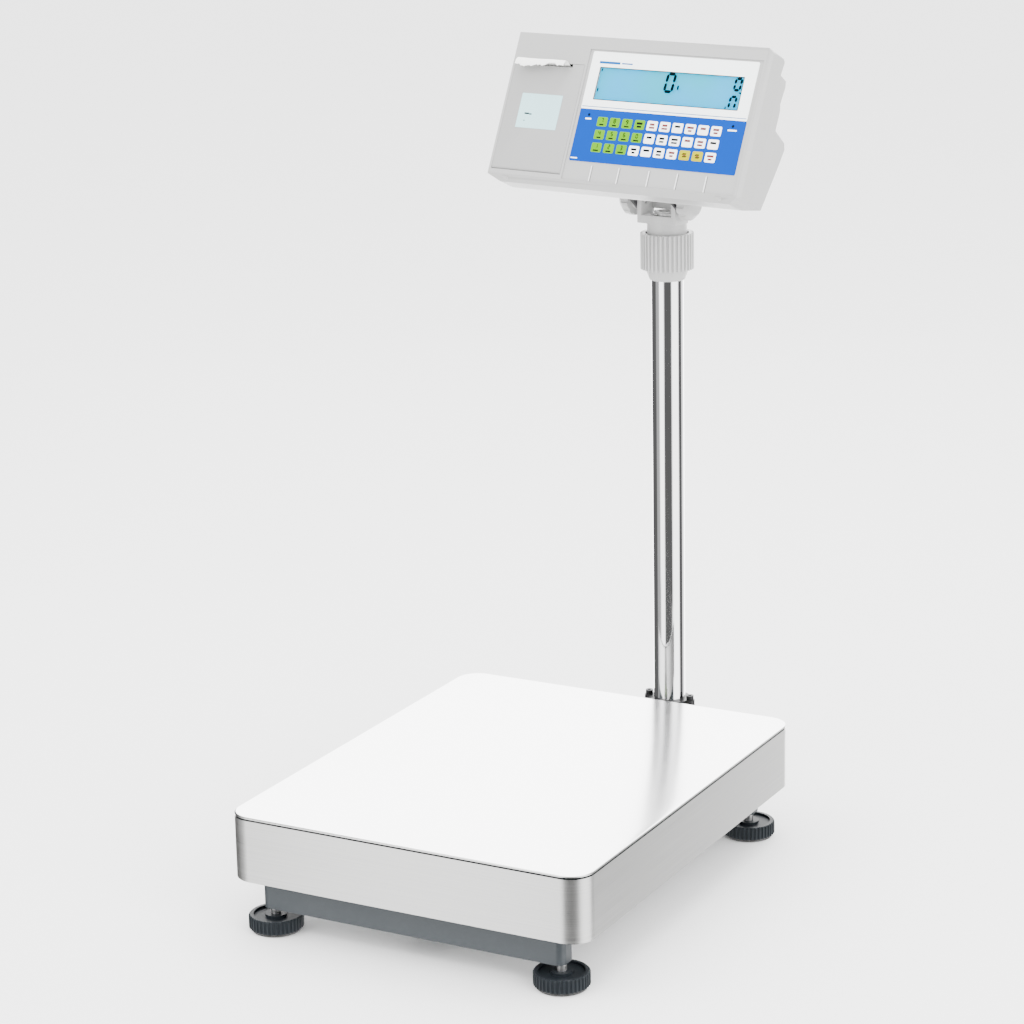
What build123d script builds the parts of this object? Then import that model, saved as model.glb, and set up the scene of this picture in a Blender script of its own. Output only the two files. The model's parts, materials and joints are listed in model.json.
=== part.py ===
"""Platform weighing scale: a flat pan on a steel base, with a pillar and a tilting indicator that prints.

Row frame: X across, +Y to the back, +Z up. The origin is on the floor, under the middle of the overall box.
The model is made with Y counted from the pan's front edge, and is moved to the row frame as it is written.
"""
from build123d import *
import math
import os

# --- overall ---------------------------------------------------------------------------------
PAN_W, PAN_D, PAN_H = 400.0, 500.0, 69.0   # the weighing pan: width, depth, skirt height
PAN_TOP = 126.0                            # height of the weighing surface above the floor
OVERALL_D = 650.0                          # pan's front edge to the back of the pillar bracket
PILLAR_Y = 611.3                           # pillar axis
SHEET = 1.5                                # pan sheet
PAN_CORNER, PAN_BEND = 25.0, 3.0

# --- base ------------------------------------------------------------------------------------
BASE_W, BASE_Y0, BASE_Y1 = 340.0, 15.0, 481.0
BASE_Z0, BASE_Z1 = 26.0, 66.0
BASE_STEEL, BASE_BAR, BASE_CORNER = 3.0, 26.0, 8.0     # sheet, depth of a cross beam, its corner radius
BEAM_HALF, BEAM_Z0, BEAM_Z1 = 30.0, 20.0, 39.0         # middle beam
BOSS_R, BOLT_R, BOLT_FIT = 10.0, 4.0, 0.05
CELL_W, CELL_L, CELL_H = 40.0, 150.0, 40.0
CELL_PLATE, CELL_PAD = 4.0, 40.0           # spacer plate: thickness, length
BOLT_X, BOLT_Y = 12.0, 11.0                # cell bolts, from the middle of their end
UPPER_Z0, FRAME_H = 87.0, 30.0             # upper frame: underside, section height
UPPER_HALF, UPPER_Y0, UPPER_Y1 = 172.0, 16.0, 484.0
UPPER_STEEL, UPPER_BAR, UPPER_FLOOR = 2.5, 26.0, 3.0
STOP_X, STOP_GAP = 120.0, 1.0
BUFFER_X, BUFFER_Y, BUFFER_R = 150.0, 29.0, 9.0
GLAND_X, GLAND_Z, GLAND_R = 80.0, 42.0, 6.0
FOOT_X, FOOT_Y0, FOOT_Y1 = 162.0, 28.0, 468.0          # foot axes
FOOT_R, STUD_R, STUD_FIT = 28.0, 5.0, 0.05
PAD_H, PAD_GAP, DISC_Z1, STUD_Z1 = 3.0, 0.3, 16.9, 59.5
NOTCHES, NOTCH_R, DISH_R, HUB_R = 40, 1.7, 23.0, 11.0

# --- pillar ----------------------------------------------------------------------------------
BRACKET_HALF, BRACKET_Z1 = 30.0, 51.0
BRACKET_BOLT_X, BRACKET_BOLT_Z = 40.0, (32.0, 44.5)
FLANGE_SCREW_X, FLANGE_SCREW_Y = 23.0, 25.0
LEVEL_Y, LEVEL_R = 535.0, 14.0
TUBE_R, TUBE_WALL, TUBE_Z1 = 17.9, 1.5, 589.5
SOCKET_R, SOCKET_Z1, FLANGE_H = 23.5, 89.5, 6.0
EAR_H, EAR_HALF, EAR_SCREW_X = 14.0, 5.5, 25.5
SCREW_R, SCREW_HEAD_R, SCREW_HEAD_H = 2.5, 4.25, 5.0

# --- pillar head -----------------------------------------------------------------------------
COLLAR_Z0, COLLAR_RIB_Z0, COLLAR_Z1 = 573.0, 585.0, 625.0
COLLAR_R, RIB_H, RIBS = 29.5, 2.2, 36
STEM_R, STEM_Z1, SPIGOT_R, SPIGOT_Z1, STEM_BORE = 23.6, 615.5, 14.0, 648.5, 9.0
NECK_R, NECK_Z0 = 22.0, 616.5
YOKE_HALF, YOKE_CHEEK, YOKE_Y0, YOKE_Y1 = 25.0, 5.5, -21.0, 4.0
YOKE_Z0, YOKE_FLOOR = 636.5, 8.5
YAW = -8.7                                 # the head is turned a little to the left
TILT = 23.9                                # and its face leans back
TILT_Y, TILT_Z = -12.0, 661.0              # tilt axis, from the pillar axis and the floor
FACE_Y, FACE_Z = -78.7, 766.1              # middle of the indicator's face
KNOB_X0, KNOB_X1, KNOB_R, KNOB_HUB_R, FLUTES = 28.6, 47.0, 18.0, 11.0, 10
KNOB_STUD_R, KNOB_FIT = 4.0, 0.08

# --- indicator: X across, Y from its face to its back, Z up along the face ----------------------
CASE_HALF, CASE_TOP, CASE_LOW = 163.6, 81.0, -86.5
CASE_WALL, CASE_SPLIT = 3.0, 28.0
BACK_LOW, BACK_HIGH = (51.3, -80.3), (68.3, -28.3)     # ends of the sloping lower back
POCKET = 1.2
POCKET_BOX = (-62.0, 157.5, -78.8, 66.0)   # display side's shallow pocket: x0, x1, z0, z1
OVERLAY_BOX = (-57.6, 153.0, -57.4, 64.0)
LCD_BOX = (-45.0, 139.0, 10.8, 47.3)
CELL_LINES = (-26.0, 9.5, 48.0, 84.0, 120.0)
KEY_X0, KEY_PITCH_X, KEY_COLS = -26.0, 16.1, 10
KEY_Z0, KEY_PITCH_Z, KEY_ROWS = -12.7, 14.2, 3
KEY_W, KEY_H = 13.0, 10.5
LID_X0, LID_X1, LID_TOP, LID_GAP = -157.0, -65.0, 47.6, 0.4
HINGE_Y, HINGE_Z, HINGE_R, HINGE_PIN_R = 3.0, -71.0, 3.0, 1.2
SLOT_X0, SLOT_X1, SLOT_Z0 = -156.0, -80.5, 44.0
PLATEN_Y, PLATEN_Z, PLATEN_R = 9.0, 38.0, 5.0
ROLL_Y, ROLL_Z, ROLL_R, ROLL_X0, ROLL_X1 = 36.0, -25.0, 24.0, -150.0, -85.0
SPINDLE_R = 4.0
RUN_FIT = 0.05
BACK_MID = 27.0                            # middle of the connectors, up the sloping back
INLET_X, SERIAL_X, CELL_SOCKET_X, SWITCH_X = 100.0, 56.0, -70.0, 137.0
CASE_SCREW_R, CASE_SCREW_HEAD_R = 1.5, 3.2
SCREW_PLACES = ((-150.0, 67.0, 30.0), (150.0, 67.0, 30.0), (-138.0, -80.0, 40.0), (138.0, -80.0, 40.0))
WEB_LOW, WEB_HIGH, EAR_LOW, EAR_HIGH = 6.0, 46.0, 16.0, 42.0   # tilt bracket, up the sloping back
LUG_STEEL, LUG_R, LUG_GAP, LUG_SCREW_R = 3.0, 11.0, 0.3, 2.0


# --- small helpers -------------------------------------------------------------------------------
def block(x0, x1, y0, y1, z0, z1):
    """A block between two corners."""
    return Pos((x0 + x1) / 2, (y0 + y1) / 2, (z0 + z1) / 2) * Box(x1 - x0, y1 - y0, z1 - z0)


def upright(x, y, z0, z1, r):
    """A cylinder along Z."""
    return Pos(x, y, (z0 + z1) / 2) * Cylinder(r, z1 - z0)


def across(x0, x1, y, z, r):
    """A cylinder along X."""
    return Pos((x0 + x1) / 2, y, z) * Rot(0, 90, 0) * Cylinder(r, x1 - x0)


def deep(x, z, y0, y1, r):
    """A cylinder along Y."""
    return Pos(x, (y0 + y1) / 2, z) * Rot(90, 0, 0) * Cylinder(r, y1 - y0)


def rounded(w, d, r, y_mid, z0, z1):
    """An upright block, centred on X, with rounded vertical corners."""
    return extrude(Pos(0, y_mid, z0) * RectangleRounded(w, d, r), z1 - z0)


def side_slab(points, x0, x1):
    """A slab between x0 and x1 with an outline of (y, z) points."""
    outline = make_face(Plane.YZ * Polyline(*points, close=True))
    return Pos(x0, 0, 0) * extrude(outline, x1 - x0, dir=(1, 0, 0))


def corners(x, y_front, y_back):
    """The four places of a left/right, front/back pattern."""
    return [(sx * x, y) for y in (y_front, y_back) for sx in (-1, 1)]


# --- base ------------------------------------------------------------------------------------------
def cross_beam(y0, y1):
    """Pressed steel beam across the base, open below."""
    t, mid, depth = BASE_STEEL, (y0 + y1) / 2, y1 - y0
    beam = rounded(BASE_W, depth, BASE_CORNER, mid, BASE_Z0, BASE_Z1)
    return beam - rounded(BASE_W - 2 * t, depth - 2 * t, BASE_CORNER - t, mid, BASE_Z0, BASE_Z1 - t)


def base_frame():
    """Two cross beams joined by a low middle beam, with a threaded boss for each foot."""
    t, y0, y1 = BASE_STEEL, BASE_Y0 + BASE_BAR, BASE_Y1 - BASE_BAR
    frame = cross_beam(BASE_Y0, y0) + cross_beam(y1, BASE_Y1)
    frame += block(-BEAM_HALF, BEAM_HALF, y0 - t, y1 + t, BEAM_Z0, BEAM_Z1)
    frame -= block(-BEAM_HALF + t, BEAM_HALF - t, y0, y1, BEAM_Z0, BEAM_Z1 - t)
    for x, y in corners(FOOT_X - 2, FOOT_Y0, FOOT_Y1):
        frame += upright(x, y, BASE_Z0, BASE_Z1 - t, BOSS_R - 1)
    for x, y in corners(FOOT_X, FOOT_Y0, FOOT_Y1):
        frame -= upright(x, y, BASE_Z0, BASE_Z1 - t + 1, STUD_R)
    for x, y in corners(STOP_X, FOOT_Y0, FOOT_Y1):
        frame -= upright(x, y, BASE_Z0, BASE_Z1, BOLT_R + BOLT_FIT)
    for x, y in cell_bolt_places(rear=True):
        frame -= upright(x, y, BEAM_Z0, BEAM_Z1, BOLT_R + BOLT_FIT)
    for x, z in bracket_bolt_places():
        frame -= deep(x, z, BASE_Y1 - t, BASE_Y1, 3.05)
    return frame - deep(GLAND_X, GLAND_Z, BASE_Y1 - t, BASE_Y1, GLAND_R + BOLT_FIT)


def cell_bolt_places(rear):
    """Two by two bolts at one end of the load cell."""
    y = PAN_D / 2 + (1 if rear else -1) * (CELL_L / 2 - CELL_PAD / 2)
    return [(sx * BOLT_X, y + sy * BOLT_Y) for sx in (-1, 1) for sy in (-1, 1)]


def bracket_bolt_places():
    return [(sx * BRACKET_BOLT_X, z) for sx in (-1, 1) for z in BRACKET_BOLT_Z]


def cell_plate(rear, z0):
    """Spacer plate between one end of the load cell and its frame."""
    y = PAN_D / 2 + (1 if rear else -1) * (CELL_L / 2 - CELL_PAD / 2)
    plate = block(-CELL_W / 2, CELL_W / 2, y - CELL_PAD / 2, y + CELL_PAD / 2, z0, z0 + CELL_PLATE)
    for x, by in cell_bolt_places(rear):
        plate -= upright(x, by, z0, z0 + CELL_PLATE, BOLT_R + BOLT_FIT)
    return plate


def load_cell():
    """Single-point load cell: an aluminium bar with a double-bored window that makes the sprung beam."""
    z0 = BEAM_Z1 + CELL_PLATE
    mid, y = z0 + CELL_H / 2, PAN_D / 2
    bar = block(-CELL_W / 2, CELL_W / 2, y - CELL_L / 2, y + CELL_L / 2, z0, z0 + CELL_H)
    for dy in (-20, 20):
        bar -= across(-CELL_W / 2, CELL_W / 2, y + dy, mid, 14)
    bar -= block(-CELL_W / 2, CELL_W / 2, y - 20, y + 20, mid - 6, mid + 6)
    for x, by in cell_bolt_places(True):
        bar -= upright(x, by, z0, z0 + 12, BOLT_R + BOLT_FIT)
    for x, by in cell_bolt_places(False):
        bar -= upright(x, by, z0 + CELL_H - 12, z0 + CELL_H, BOLT_R + BOLT_FIT)
    return bar


def hex_head(x, y, z0):
    """Hexagon head or nut of an 8 mm bolt."""
    return Pos(x, y, z0) * extrude(RegularPolygon(6.5, 6), 5)


def cell_bolts(rear):
    """Four hexagon bolts that fasten one end of the load cell."""
    z_cell = BEAM_Z1 + CELL_PLATE + (0 if rear else CELL_H)
    reach, way = 10.0, (1 if rear else -1)
    z_head = BEAM_Z1 - BASE_STEEL if rear else UPPER_Z0 + UPPER_FLOOR
    bolts = Part()
    for x, y in cell_bolt_places(rear):
        z_tip = z_cell + way * reach
        bolts += upright(x, y, min(z_head, z_tip), max(z_head, z_tip), BOLT_R)
        bolts += hex_head(x, y, z_head - 5 if rear else z_head)
    return bolts


def overload_stops():
    """Four adjusting bolts that stop the upper frame just before the load cell is overloaded."""
    stops = Part()
    z1 = UPPER_Z0 - STOP_GAP
    for x, y in corners(STOP_X, FOOT_Y0, FOOT_Y1):
        stops += upright(x, y, BASE_Z1 - 12, z1 - 5, BOLT_R)
        stops += hex_head(x, y, z1 - 5) + hex_head(x, y, BASE_Z1)
    return stops


def cable_gland():
    """Gland for the load cell's cable, in the back of the base."""
    y = BASE_Y1
    gland = deep(GLAND_X, GLAND_Z, y - 8, y, GLAND_R)
    gland += Pos(GLAND_X, y, GLAND_Z) * Rot(-90, 0, 0) * extrude(RegularPolygon(9, 6), 4)
    gland += deep(GLAND_X, GLAND_Z, y + 4, y + 12, 7.5)
    gland += Pos(GLAND_X, y + 12, GLAND_Z) * Rot(-90, 0, 0) * Pos(0, 0, 2) * Cone(7.5, 5, 4)
    return gland - deep(GLAND_X, GLAND_Z, y - 8, y + 16, 3)


# --- feet ------------------------------------------------------------------------------------------
def foot_disc(x, y):
    """Knurled hand wheel of a levelling foot."""
    z0 = PAD_H + PAD_GAP
    disc = upright(x, y, z0, DISC_Z1 - 1.5, FOOT_R)
    disc += Pos(x, y, DISC_Z1 - 0.75) * Cone(FOOT_R, FOOT_R - 1.5, 1.5)
    for i in range(NOTCHES):
        a = 2 * math.pi * i / NOTCHES
        disc -= upright(x + FOOT_R * math.cos(a), y + FOOT_R * math.sin(a), z0, DISC_Z1, NOTCH_R)
    disc -= upright(x, y, DISC_Z1 - 2.5, DISC_Z1, DISH_R) - upright(x, y, 0, DISC_Z1, HUB_R)
    return disc - upright(x, y, z0, DISC_Z1, STUD_R - STUD_FIT)


def foot_stud(x, y):
    """Threaded stud, moulded into the hand wheel and screwed into the base."""
    return upright(x, y, PAD_H + PAD_GAP, STUD_Z1, STUD_R - STUD_FIT)


def foot_pads():
    """Four rubber soles that stay still on the floor while the hand wheels turn."""
    pads, groove = Part(), 0.8
    for x, y in corners(FOOT_X, FOOT_Y0, FOOT_Y1):
        pads += upright(x, y, 0, PAD_H, FOOT_R - 3)
        pads -= upright(x, y, 0, groove, FOOT_R - 8) - upright(x, y, 0, groove, FOOT_R - 12)
    return pads


# --- platform ---------------------------------------------------------------------------------------
def upper_frame():
    """Steel spider that carries the pan: a ring and a middle beam, all channels open below."""
    t, w, z0, z1 = UPPER_STEEL, UPPER_BAR, UPPER_Z0, UPPER_Z0 + FRAME_H
    x1, y0, y1 = UPPER_HALF, UPPER_Y0, UPPER_Y1
    frame = block(-x1, x1, y0, y1, z0, z1) - block(-x1 + w, x1 - w, y0 + w, y1 - w, z0, z1)
    hollow = block(-x1 + t, x1 - t, y0 + t, y1 - t, z0, z1 - t)
    hollow -= block(-x1 + w - t, x1 - w + t, y0 + w - t, y1 - w + t, z0, z1 - t)
    frame -= hollow
    frame += block(-BEAM_HALF, BEAM_HALF, y0 + w - 1, y1 - w + 1, z0, z1)
    frame -= block(-BEAM_HALF + t, BEAM_HALF - t, y0 + w, y1 - w, z0 + UPPER_FLOOR, z1 - t)
    for x, y in corners(STOP_X, FOOT_Y0, FOOT_Y1):
        frame += block(x - 12, x + 12, y - 10, y + 12, z0, z0 + UPPER_FLOOR)
    for x, y in cell_bolt_places(rear=False):
        frame -= upright(x, y, z0, z0 + UPPER_FLOOR, BOLT_R + BOLT_FIT)
        frame -= upright(x, y, z1 - t, z1, 2 * BOLT_R)
    for x, y in buffer_places():
        frame -= upright(x, y, z1 - t, z1, BOLT_R + BOLT_FIT)
    return frame


def buffer_places():
    return corners(BUFFER_X, BUFFER_Y, PAN_D - BUFFER_Y)


def pan_buffers():
    """Four rubber buffers, pushed into the upper frame, that the pan rests on."""
    z1 = UPPER_Z0 + FRAME_H
    buffers = Part()
    for x, y in buffer_places():
        buffers += upright(x, y, z1 - 6, z1, BOLT_R) + upright(x, y, z1, PAN_TOP - SHEET, BUFFER_R)
    return buffers


def pan():
    """Stainless weighing pan: a flat top with a folded skirt and welded round corners."""
    z0 = PAN_TOP - PAN_H
    tray = rounded(PAN_W, PAN_D, PAN_CORNER, PAN_D / 2, z0, PAN_TOP)
    tray = fillet(tray.edges().group_by(Axis.Z)[-1], PAN_BEND)
    inside = rounded(PAN_W - 2 * SHEET, PAN_D - 2 * SHEET, PAN_CORNER - SHEET, PAN_D / 2, z0, PAN_TOP - SHEET)
    inside = fillet(inside.edges().group_by(Axis.Z)[-1], PAN_BEND - SHEET)
    return tray - inside


# --- pillar -----------------------------------------------------------------------------------------
def pillar_bracket():
    """Steel arm, open below, bolted to the back of the base, that carries the pillar."""
    t, y0 = BASE_STEEL, BASE_Y1 + 4
    arm = block(-BRACKET_HALF, BRACKET_HALF, y0, OVERALL_D - 12, BASE_Z0, BRACKET_Z1)
    arm += rounded(2 * BRACKET_HALF, 60, 12, OVERALL_D - 30, BASE_Z0, BRACKET_Z1)
    hollow = block(-BRACKET_HALF + t, BRACKET_HALF - t, y0, OVERALL_D - 12, BASE_Z0, BRACKET_Z1 - t)
    hollow += rounded(2 * (BRACKET_HALF - t), 60 - 2 * t, 9, OVERALL_D - 30, BASE_Z0, BRACKET_Z1 - t)
    arm = arm - hollow + block(-50, 50, BASE_Y1, y0, BASE_Z0 + 2, BRACKET_Z1)
    for x, z in bracket_bolt_places():
        arm -= deep(x, z, BASE_Y1, y0, 3.05)
    for x, y in flange_screw_places():
        arm -= upright(x, y, BRACKET_Z1 - t, BRACKET_Z1, SCREW_R + RUN_FIT)
    return arm


def bracket_bolts():
    """Four bolts that fasten the pillar bracket to the base."""
    bolts = Part()
    for x, z in bracket_bolt_places():
        bolts += deep(x, z, BASE_Y1 - 8, BASE_Y1 + 4, 3)
        bolts += Pos(x, BASE_Y1 + 4, z) * Rot(-90, 0, 0) * extrude(RegularPolygon(5.5, 6), 4)
    return bolts


def flange_screw_places():
    return [(sx * FLANGE_SCREW_X, PILLAR_Y + sy * FLANGE_SCREW_Y) for sx in (-1, 1) for sy in (-1, 1)]


def pillar_socket():
    """Black cast socket that holds the pillar: a square flange, a sleeve and two clamping ears."""
    z0 = BRACKET_Z1
    socket = rounded(2 * BRACKET_HALF, 64, 6, PILLAR_Y, z0, z0 + FLANGE_H)
    socket += upright(0, PILLAR_Y, z0, SOCKET_Z1, SOCKET_R)
    y0, y1, ear_z0 = PILLAR_Y - EAR_HALF, PILLAR_Y + EAR_HALF, SOCKET_Z1 - EAR_H
    socket += block(-EAR_SCREW_X, EAR_SCREW_X, y0, y1, ear_z0, SOCKET_Z1)
    for x in (-EAR_SCREW_X, EAR_SCREW_X):
        socket += upright(x, PILLAR_Y, ear_z0, SOCKET_Z1, EAR_HALF)
    socket -= upright(0, PILLAR_Y, z0 + 3, SOCKET_Z1, TUBE_R + RUN_FIT)
    for x in (-EAR_SCREW_X, EAR_SCREW_X):
        socket -= upright(x, PILLAR_Y, ear_z0 + 1, SOCKET_Z1, SCREW_R + RUN_FIT)
    for x, y in flange_screw_places():
        socket -= upright(x, y, z0, z0 + FLANGE_H, SCREW_R + RUN_FIT)
    return socket


def cap_screw(x, y, z_seat, reach):
    """Hexagon socket cap screw, head up."""
    screw = upright(x, y, z_seat - reach, z_seat, SCREW_R)
    screw += upright(x, y, z_seat, z_seat + SCREW_HEAD_H, SCREW_HEAD_R)
    return screw - Pos(x, y, z_seat + SCREW_HEAD_H - 2.5) * extrude(RegularPolygon(2.3, 6), 2.5)


def socket_screws():
    """The cap screws in the socket's flange and ears."""
    screws = Part()
    for x, y in flange_screw_places():
        screws += cap_screw(x, y, BRACKET_Z1 + FLANGE_H, 12)
    for x in (-EAR_SCREW_X, EAR_SCREW_X):
        screws += cap_screw(x, PILLAR_Y, SOCKET_Z1, 12)
    return screws


def pillar_tube():
    """Bright tube that carries the head."""
    z0 = BRACKET_Z1 + 3
    return upright(0, PILLAR_Y, z0, TUBE_Z1, TUBE_R) - upright(0, PILLAR_Y, z0, TUBE_Z1, TUBE_R - TUBE_WALL)


def level_body():
    """Round housing of the spirit level, on the bracket behind the pan."""
    z0 = BRACKET_Z1
    return upright(0, LEVEL_Y, z0, z0 + 5.5, LEVEL_R) - upright(0, LEVEL_Y, z0 + 1, z0 + 5.5, LEVEL_R - 3.5)


def level_vial():
    """Clear vial of the spirit level."""
    return upright(0, LEVEL_Y, BRACKET_Z1 + 1, BRACKET_Z1 + 5, LEVEL_R - 3.6)


# --- pillar head: built about the pillar axis, X = Y = 0 ---------------------------------------------
def head_stem():
    """Hollow stem, pressed into the pillar, with the collar's thread and the spigot the yoke turns on."""
    stem = upright(0, 0, TUBE_Z1 - 40, TUBE_Z1, TUBE_R - TUBE_WALL - RUN_FIT)
    stem += upright(0, 0, TUBE_Z1, STEM_Z1, STEM_R) + upright(0, 0, STEM_Z1, SPIGOT_Z1, SPIGOT_R)
    return stem - upright(0, 0, TUBE_Z1 - 40, SPIGOT_Z1, STEM_BORE)


def stem_ring():
    """Retaining ring that keeps the yoke on its spigot."""
    z0 = YOKE_Z0 + YOKE_FLOOR + 0.4
    ring = upright(0, 0, z0, z0 + 1.2, 17) - upright(0, 0, z0, z0 + 1.2, SPIGOT_R + RUN_FIT)
    return ring - block(-2, 2, -18, -10, z0, z0 + 1.2)


def lock_collar():
    """Ribbed collar nut that clamps the swivel, with a taper down to the pillar."""
    points = []
    for i in range(RIBS):
        for step, r in ((-0.3, COLLAR_R - RIB_H), (-0.2, COLLAR_R), (0.2, COLLAR_R), (0.3, COLLAR_R - RIB_H)):
            a = 2 * math.pi * (i + step) / RIBS
            points.append((r * math.cos(a), r * math.sin(a)))
    ribbed = make_face(Polyline(*points, close=True))
    collar = Pos(0, 0, COLLAR_RIB_Z0) * extrude(ribbed, COLLAR_Z1 - COLLAR_RIB_Z0)
    taper_h = COLLAR_RIB_Z0 - COLLAR_Z0
    collar += Pos(0, 0, COLLAR_Z0 + taper_h / 2) * Cone(TUBE_R + 1.6, NECK_R + 2, taper_h)
    collar -= upright(0, 0, COLLAR_Z0, TUBE_Z1, TUBE_R + 0.4)
    collar -= upright(0, 0, TUBE_Z1 - 1, COLLAR_Z1, STEM_R + 0.5)
    return collar


def swivel_yoke():
    """Moulded yoke: a neck that turns on the stem, and an open box with a cheek each side for the tilt."""
    w, cheek, top = YOKE_HALF, YOKE_CHEEK, YOKE_Z0 + YOKE_FLOOR
    yoke = upright(0, 0, NECK_Z0, top, NECK_R) + block(-w, w, YOKE_Y0, YOKE_Y1, YOKE_Z0, top)
    for side in (-1, 1):
        x0, x1 = sorted((side * (w - cheek), side * w))
        yoke += block(x0, x1, YOKE_Y0, YOKE_Y1, YOKE_Z0, TILT_Z)
        yoke += across(x0, x1, TILT_Y, TILT_Z, -YOKE_Y0 + TILT_Y) + across(x0, x1, TILT_Y + 4, TILT_Z, 11)
    yoke += block(-w + cheek, w - cheek, YOKE_Y1 - 3, YOKE_Y1, top + 5, TILT_Z + 3)
    yoke -= upright(0, 0, NECK_Z0, top, SPIGOT_R + RUN_FIT)
    return yoke - across(-w, w, TILT_Y, TILT_Z, KNOB_STUD_R + KNOB_FIT)


def tilt_knob():
    """Right-hand fluted clamping knob."""
    x0, x1, r = KNOB_X0, KNOB_X1, KNOB_R
    outline = [(x0, 0), (x0, KNOB_HUB_R), (x0 + 2.5, KNOB_HUB_R), (x0 + 3.5, r), (x1 - 7, r),
               (x1 - 1, r - 5.5), (x1, r - 8), (x1, 0)]
    knob = revolve(make_face(Plane.XY * Polyline(*outline, close=True)), Axis.X)
    for i in range(FLUTES):
        a = 2 * math.pi * i / FLUTES
        knob -= across(x0 + 3, x1, (r + 1.6) * math.cos(a), (r + 1.6) * math.sin(a), 3.2)
    return Pos(0, TILT_Y, TILT_Z) * (knob - across(x0, x0 + 9, 0, 0, KNOB_STUD_R))


def knob_stud():
    """Right-hand clamping stud, moulded into its knob."""
    return across(YOKE_HALF - YOKE_CHEEK - 1, KNOB_X0 + 9, TILT_Y, TILT_Z, KNOB_STUD_R)


# --- indicator ----------------------------------------------------------------------------------------
def case_body(inset):
    """The indicator's closed outer form, shrunk by inset: its side, top and front outlines cut together."""
    side = [(0, 80.5), (27, 76.5), (30, 73.5), (28, 59), (42, 57), (44, 51), (41, 32), (44, 26), (44, 4),
            (70, -2), (74, -8), BACK_HIGH, BACK_LOW, (36, -85.5), (10, CASE_LOW + 0.5), (0, -79.5)]
    taper = CASE_SPLIT + 2
    plan = [(-160.4, 0), (160.4, 0), (CASE_HALF, 6), (CASE_HALF, taper), (159, 76), (-159, 76),
            (-CASE_HALF, taper), (-CASE_HALF, 6)]
    front = [(-CASE_HALF, -79), (-147, CASE_LOW), (147, CASE_LOW), (CASE_HALF, -79), (CASE_HALF, 76.5),
             (159, CASE_TOP), (-159, CASE_TOP), (-CASE_HALF, 76.5)]
    side_face = make_face(Polyline(*side, close=True))
    side_face = fillet(side_face.vertices(), 1.4)
    plan_face = make_face(Polyline(*plan, close=True))
    front_face = fillet(make_face(Polyline(*front, close=True)).vertices(), 3)
    if inset:
        side_face = offset(side_face, -inset, kind=Kind.INTERSECTION)
        plan_face = offset(plan_face, -inset, kind=Kind.INTERSECTION)
        front_face = offset(front_face, -inset, kind=Kind.INTERSECTION)
    body = Pos(-200, 0, 0) * extrude(Plane.YZ * side_face, 400)
    body &= Pos(0, 0, -150) * extrude(plan_face, 300)
    return body & (Pos(0, 150, 0) * extrude(Plane.XZ * front_face, 300))


def back_plane(x, s):
    """Plane on the sloping lower back, s mm up it from its lower edge, with +Z out of the case."""
    dy, dz = BACK_HIGH[0] - BACK_LOW[0], BACK_HIGH[1] - BACK_LOW[1]
    length = math.hypot(dy, dz)
    origin = (x, BACK_LOW[0] + s * dy / length, BACK_LOW[1] + s * dz / length)
    return Plane(origin=origin, x_dir=(1, 0, 0), z_dir=(0, dz / length, -dy / length))


def front_shell():
    """Front half of the case, with the display pocket, the printer opening and its hinge lugs."""
    shell = case_body(0) & block(-200, 200, -1, CASE_SPLIT, -200, 200)
    shell -= case_body(CASE_WALL) & block(-200, 200, -1, CASE_SPLIT, -200, 200)
    x0, x1, z0, z1 = POCKET_BOX
    shell -= block(x0, x1, -1, POCKET, z0, z1)
    for x in CELL_LINES:
        shell += block(x - 0.7, x + 0.7, 0.4, POCKET + 0.2, z0 - 0.2, -61.5)
    x0, x1, z0, z1 = LCD_BOX
    shell -= block(x0, x1, -1, CASE_WALL, z0, z1)
    g = LID_GAP
    shell -= block(LID_X0 - g, LID_X1 + g, -1, CASE_WALL, HINGE_Z - HINGE_R - g, LID_TOP + g)
    for xa, xb in ((-CASE_HALF + 2.5, LID_X0 - g), (LID_X1 + g, LID_X1 + g + 3)):
        shell += block(xa, xb, 1.6, 7, HINGE_Z - 5, HINGE_Z + 5)
    shell -= across(LID_X0 - 3, LID_X1 + 3, HINGE_Y, HINGE_Z, HINGE_PIN_R + RUN_FIT)
    for x, z, _ in SCREW_PLACES:
        shell += deep(x, z, CASE_WALL - 0.5, CASE_SPLIT, 4.2)
        shell -= deep(x, z, 12, CASE_SPLIT, CASE_SCREW_R + RUN_FIT)
    return shell


def rear_shell():
    """Back half of the case, with its screw bosses and the cut-outs for the connectors."""
    shell = case_body(0) & block(-200, 200, CASE_SPLIT, 90, -200, 200)
    shell -= case_body(CASE_WALL) & block(-200, 200, CASE_SPLIT, 90, -200, 200)
    whole = case_body(0) & block(-200, 200, CASE_SPLIT, 90, -200, 200)
    for x, z, seat in SCREW_PLACES:
        shell += deep(x, z, CASE_SPLIT, 60, 6) & whole
        shell -= deep(x, z, CASE_SPLIT, seat, CASE_SCREW_R + RUN_FIT)
        shell -= deep(x, z, seat, 90, CASE_SCREW_HEAD_R + 0.2)
    shell -= back_plane(INLET_X, BACK_MID) * Box(28.4, 20.4, 12)
    shell -= back_plane(SERIAL_X, BACK_MID) * Box(18.4, 9.4, 12)
    shell -= back_plane(CELL_SOCKET_X, BACK_MID) * Cylinder(8.05, 12)
    shell -= back_plane(SWITCH_X, BACK_MID) * Box(13.2, 21.2, 12)
    shell -= back_plane(SWITCH_X, BACK_MID) * Pos(0, 0, -1.5) * Rot(0, 90, 0) * Cylinder(0.95, 15.2)
    for x, s in bracket_screw_places():
        shell -= back_plane(x, s) * Cylinder(LUG_SCREW_R + RUN_FIT, 12)
    return shell


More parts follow.
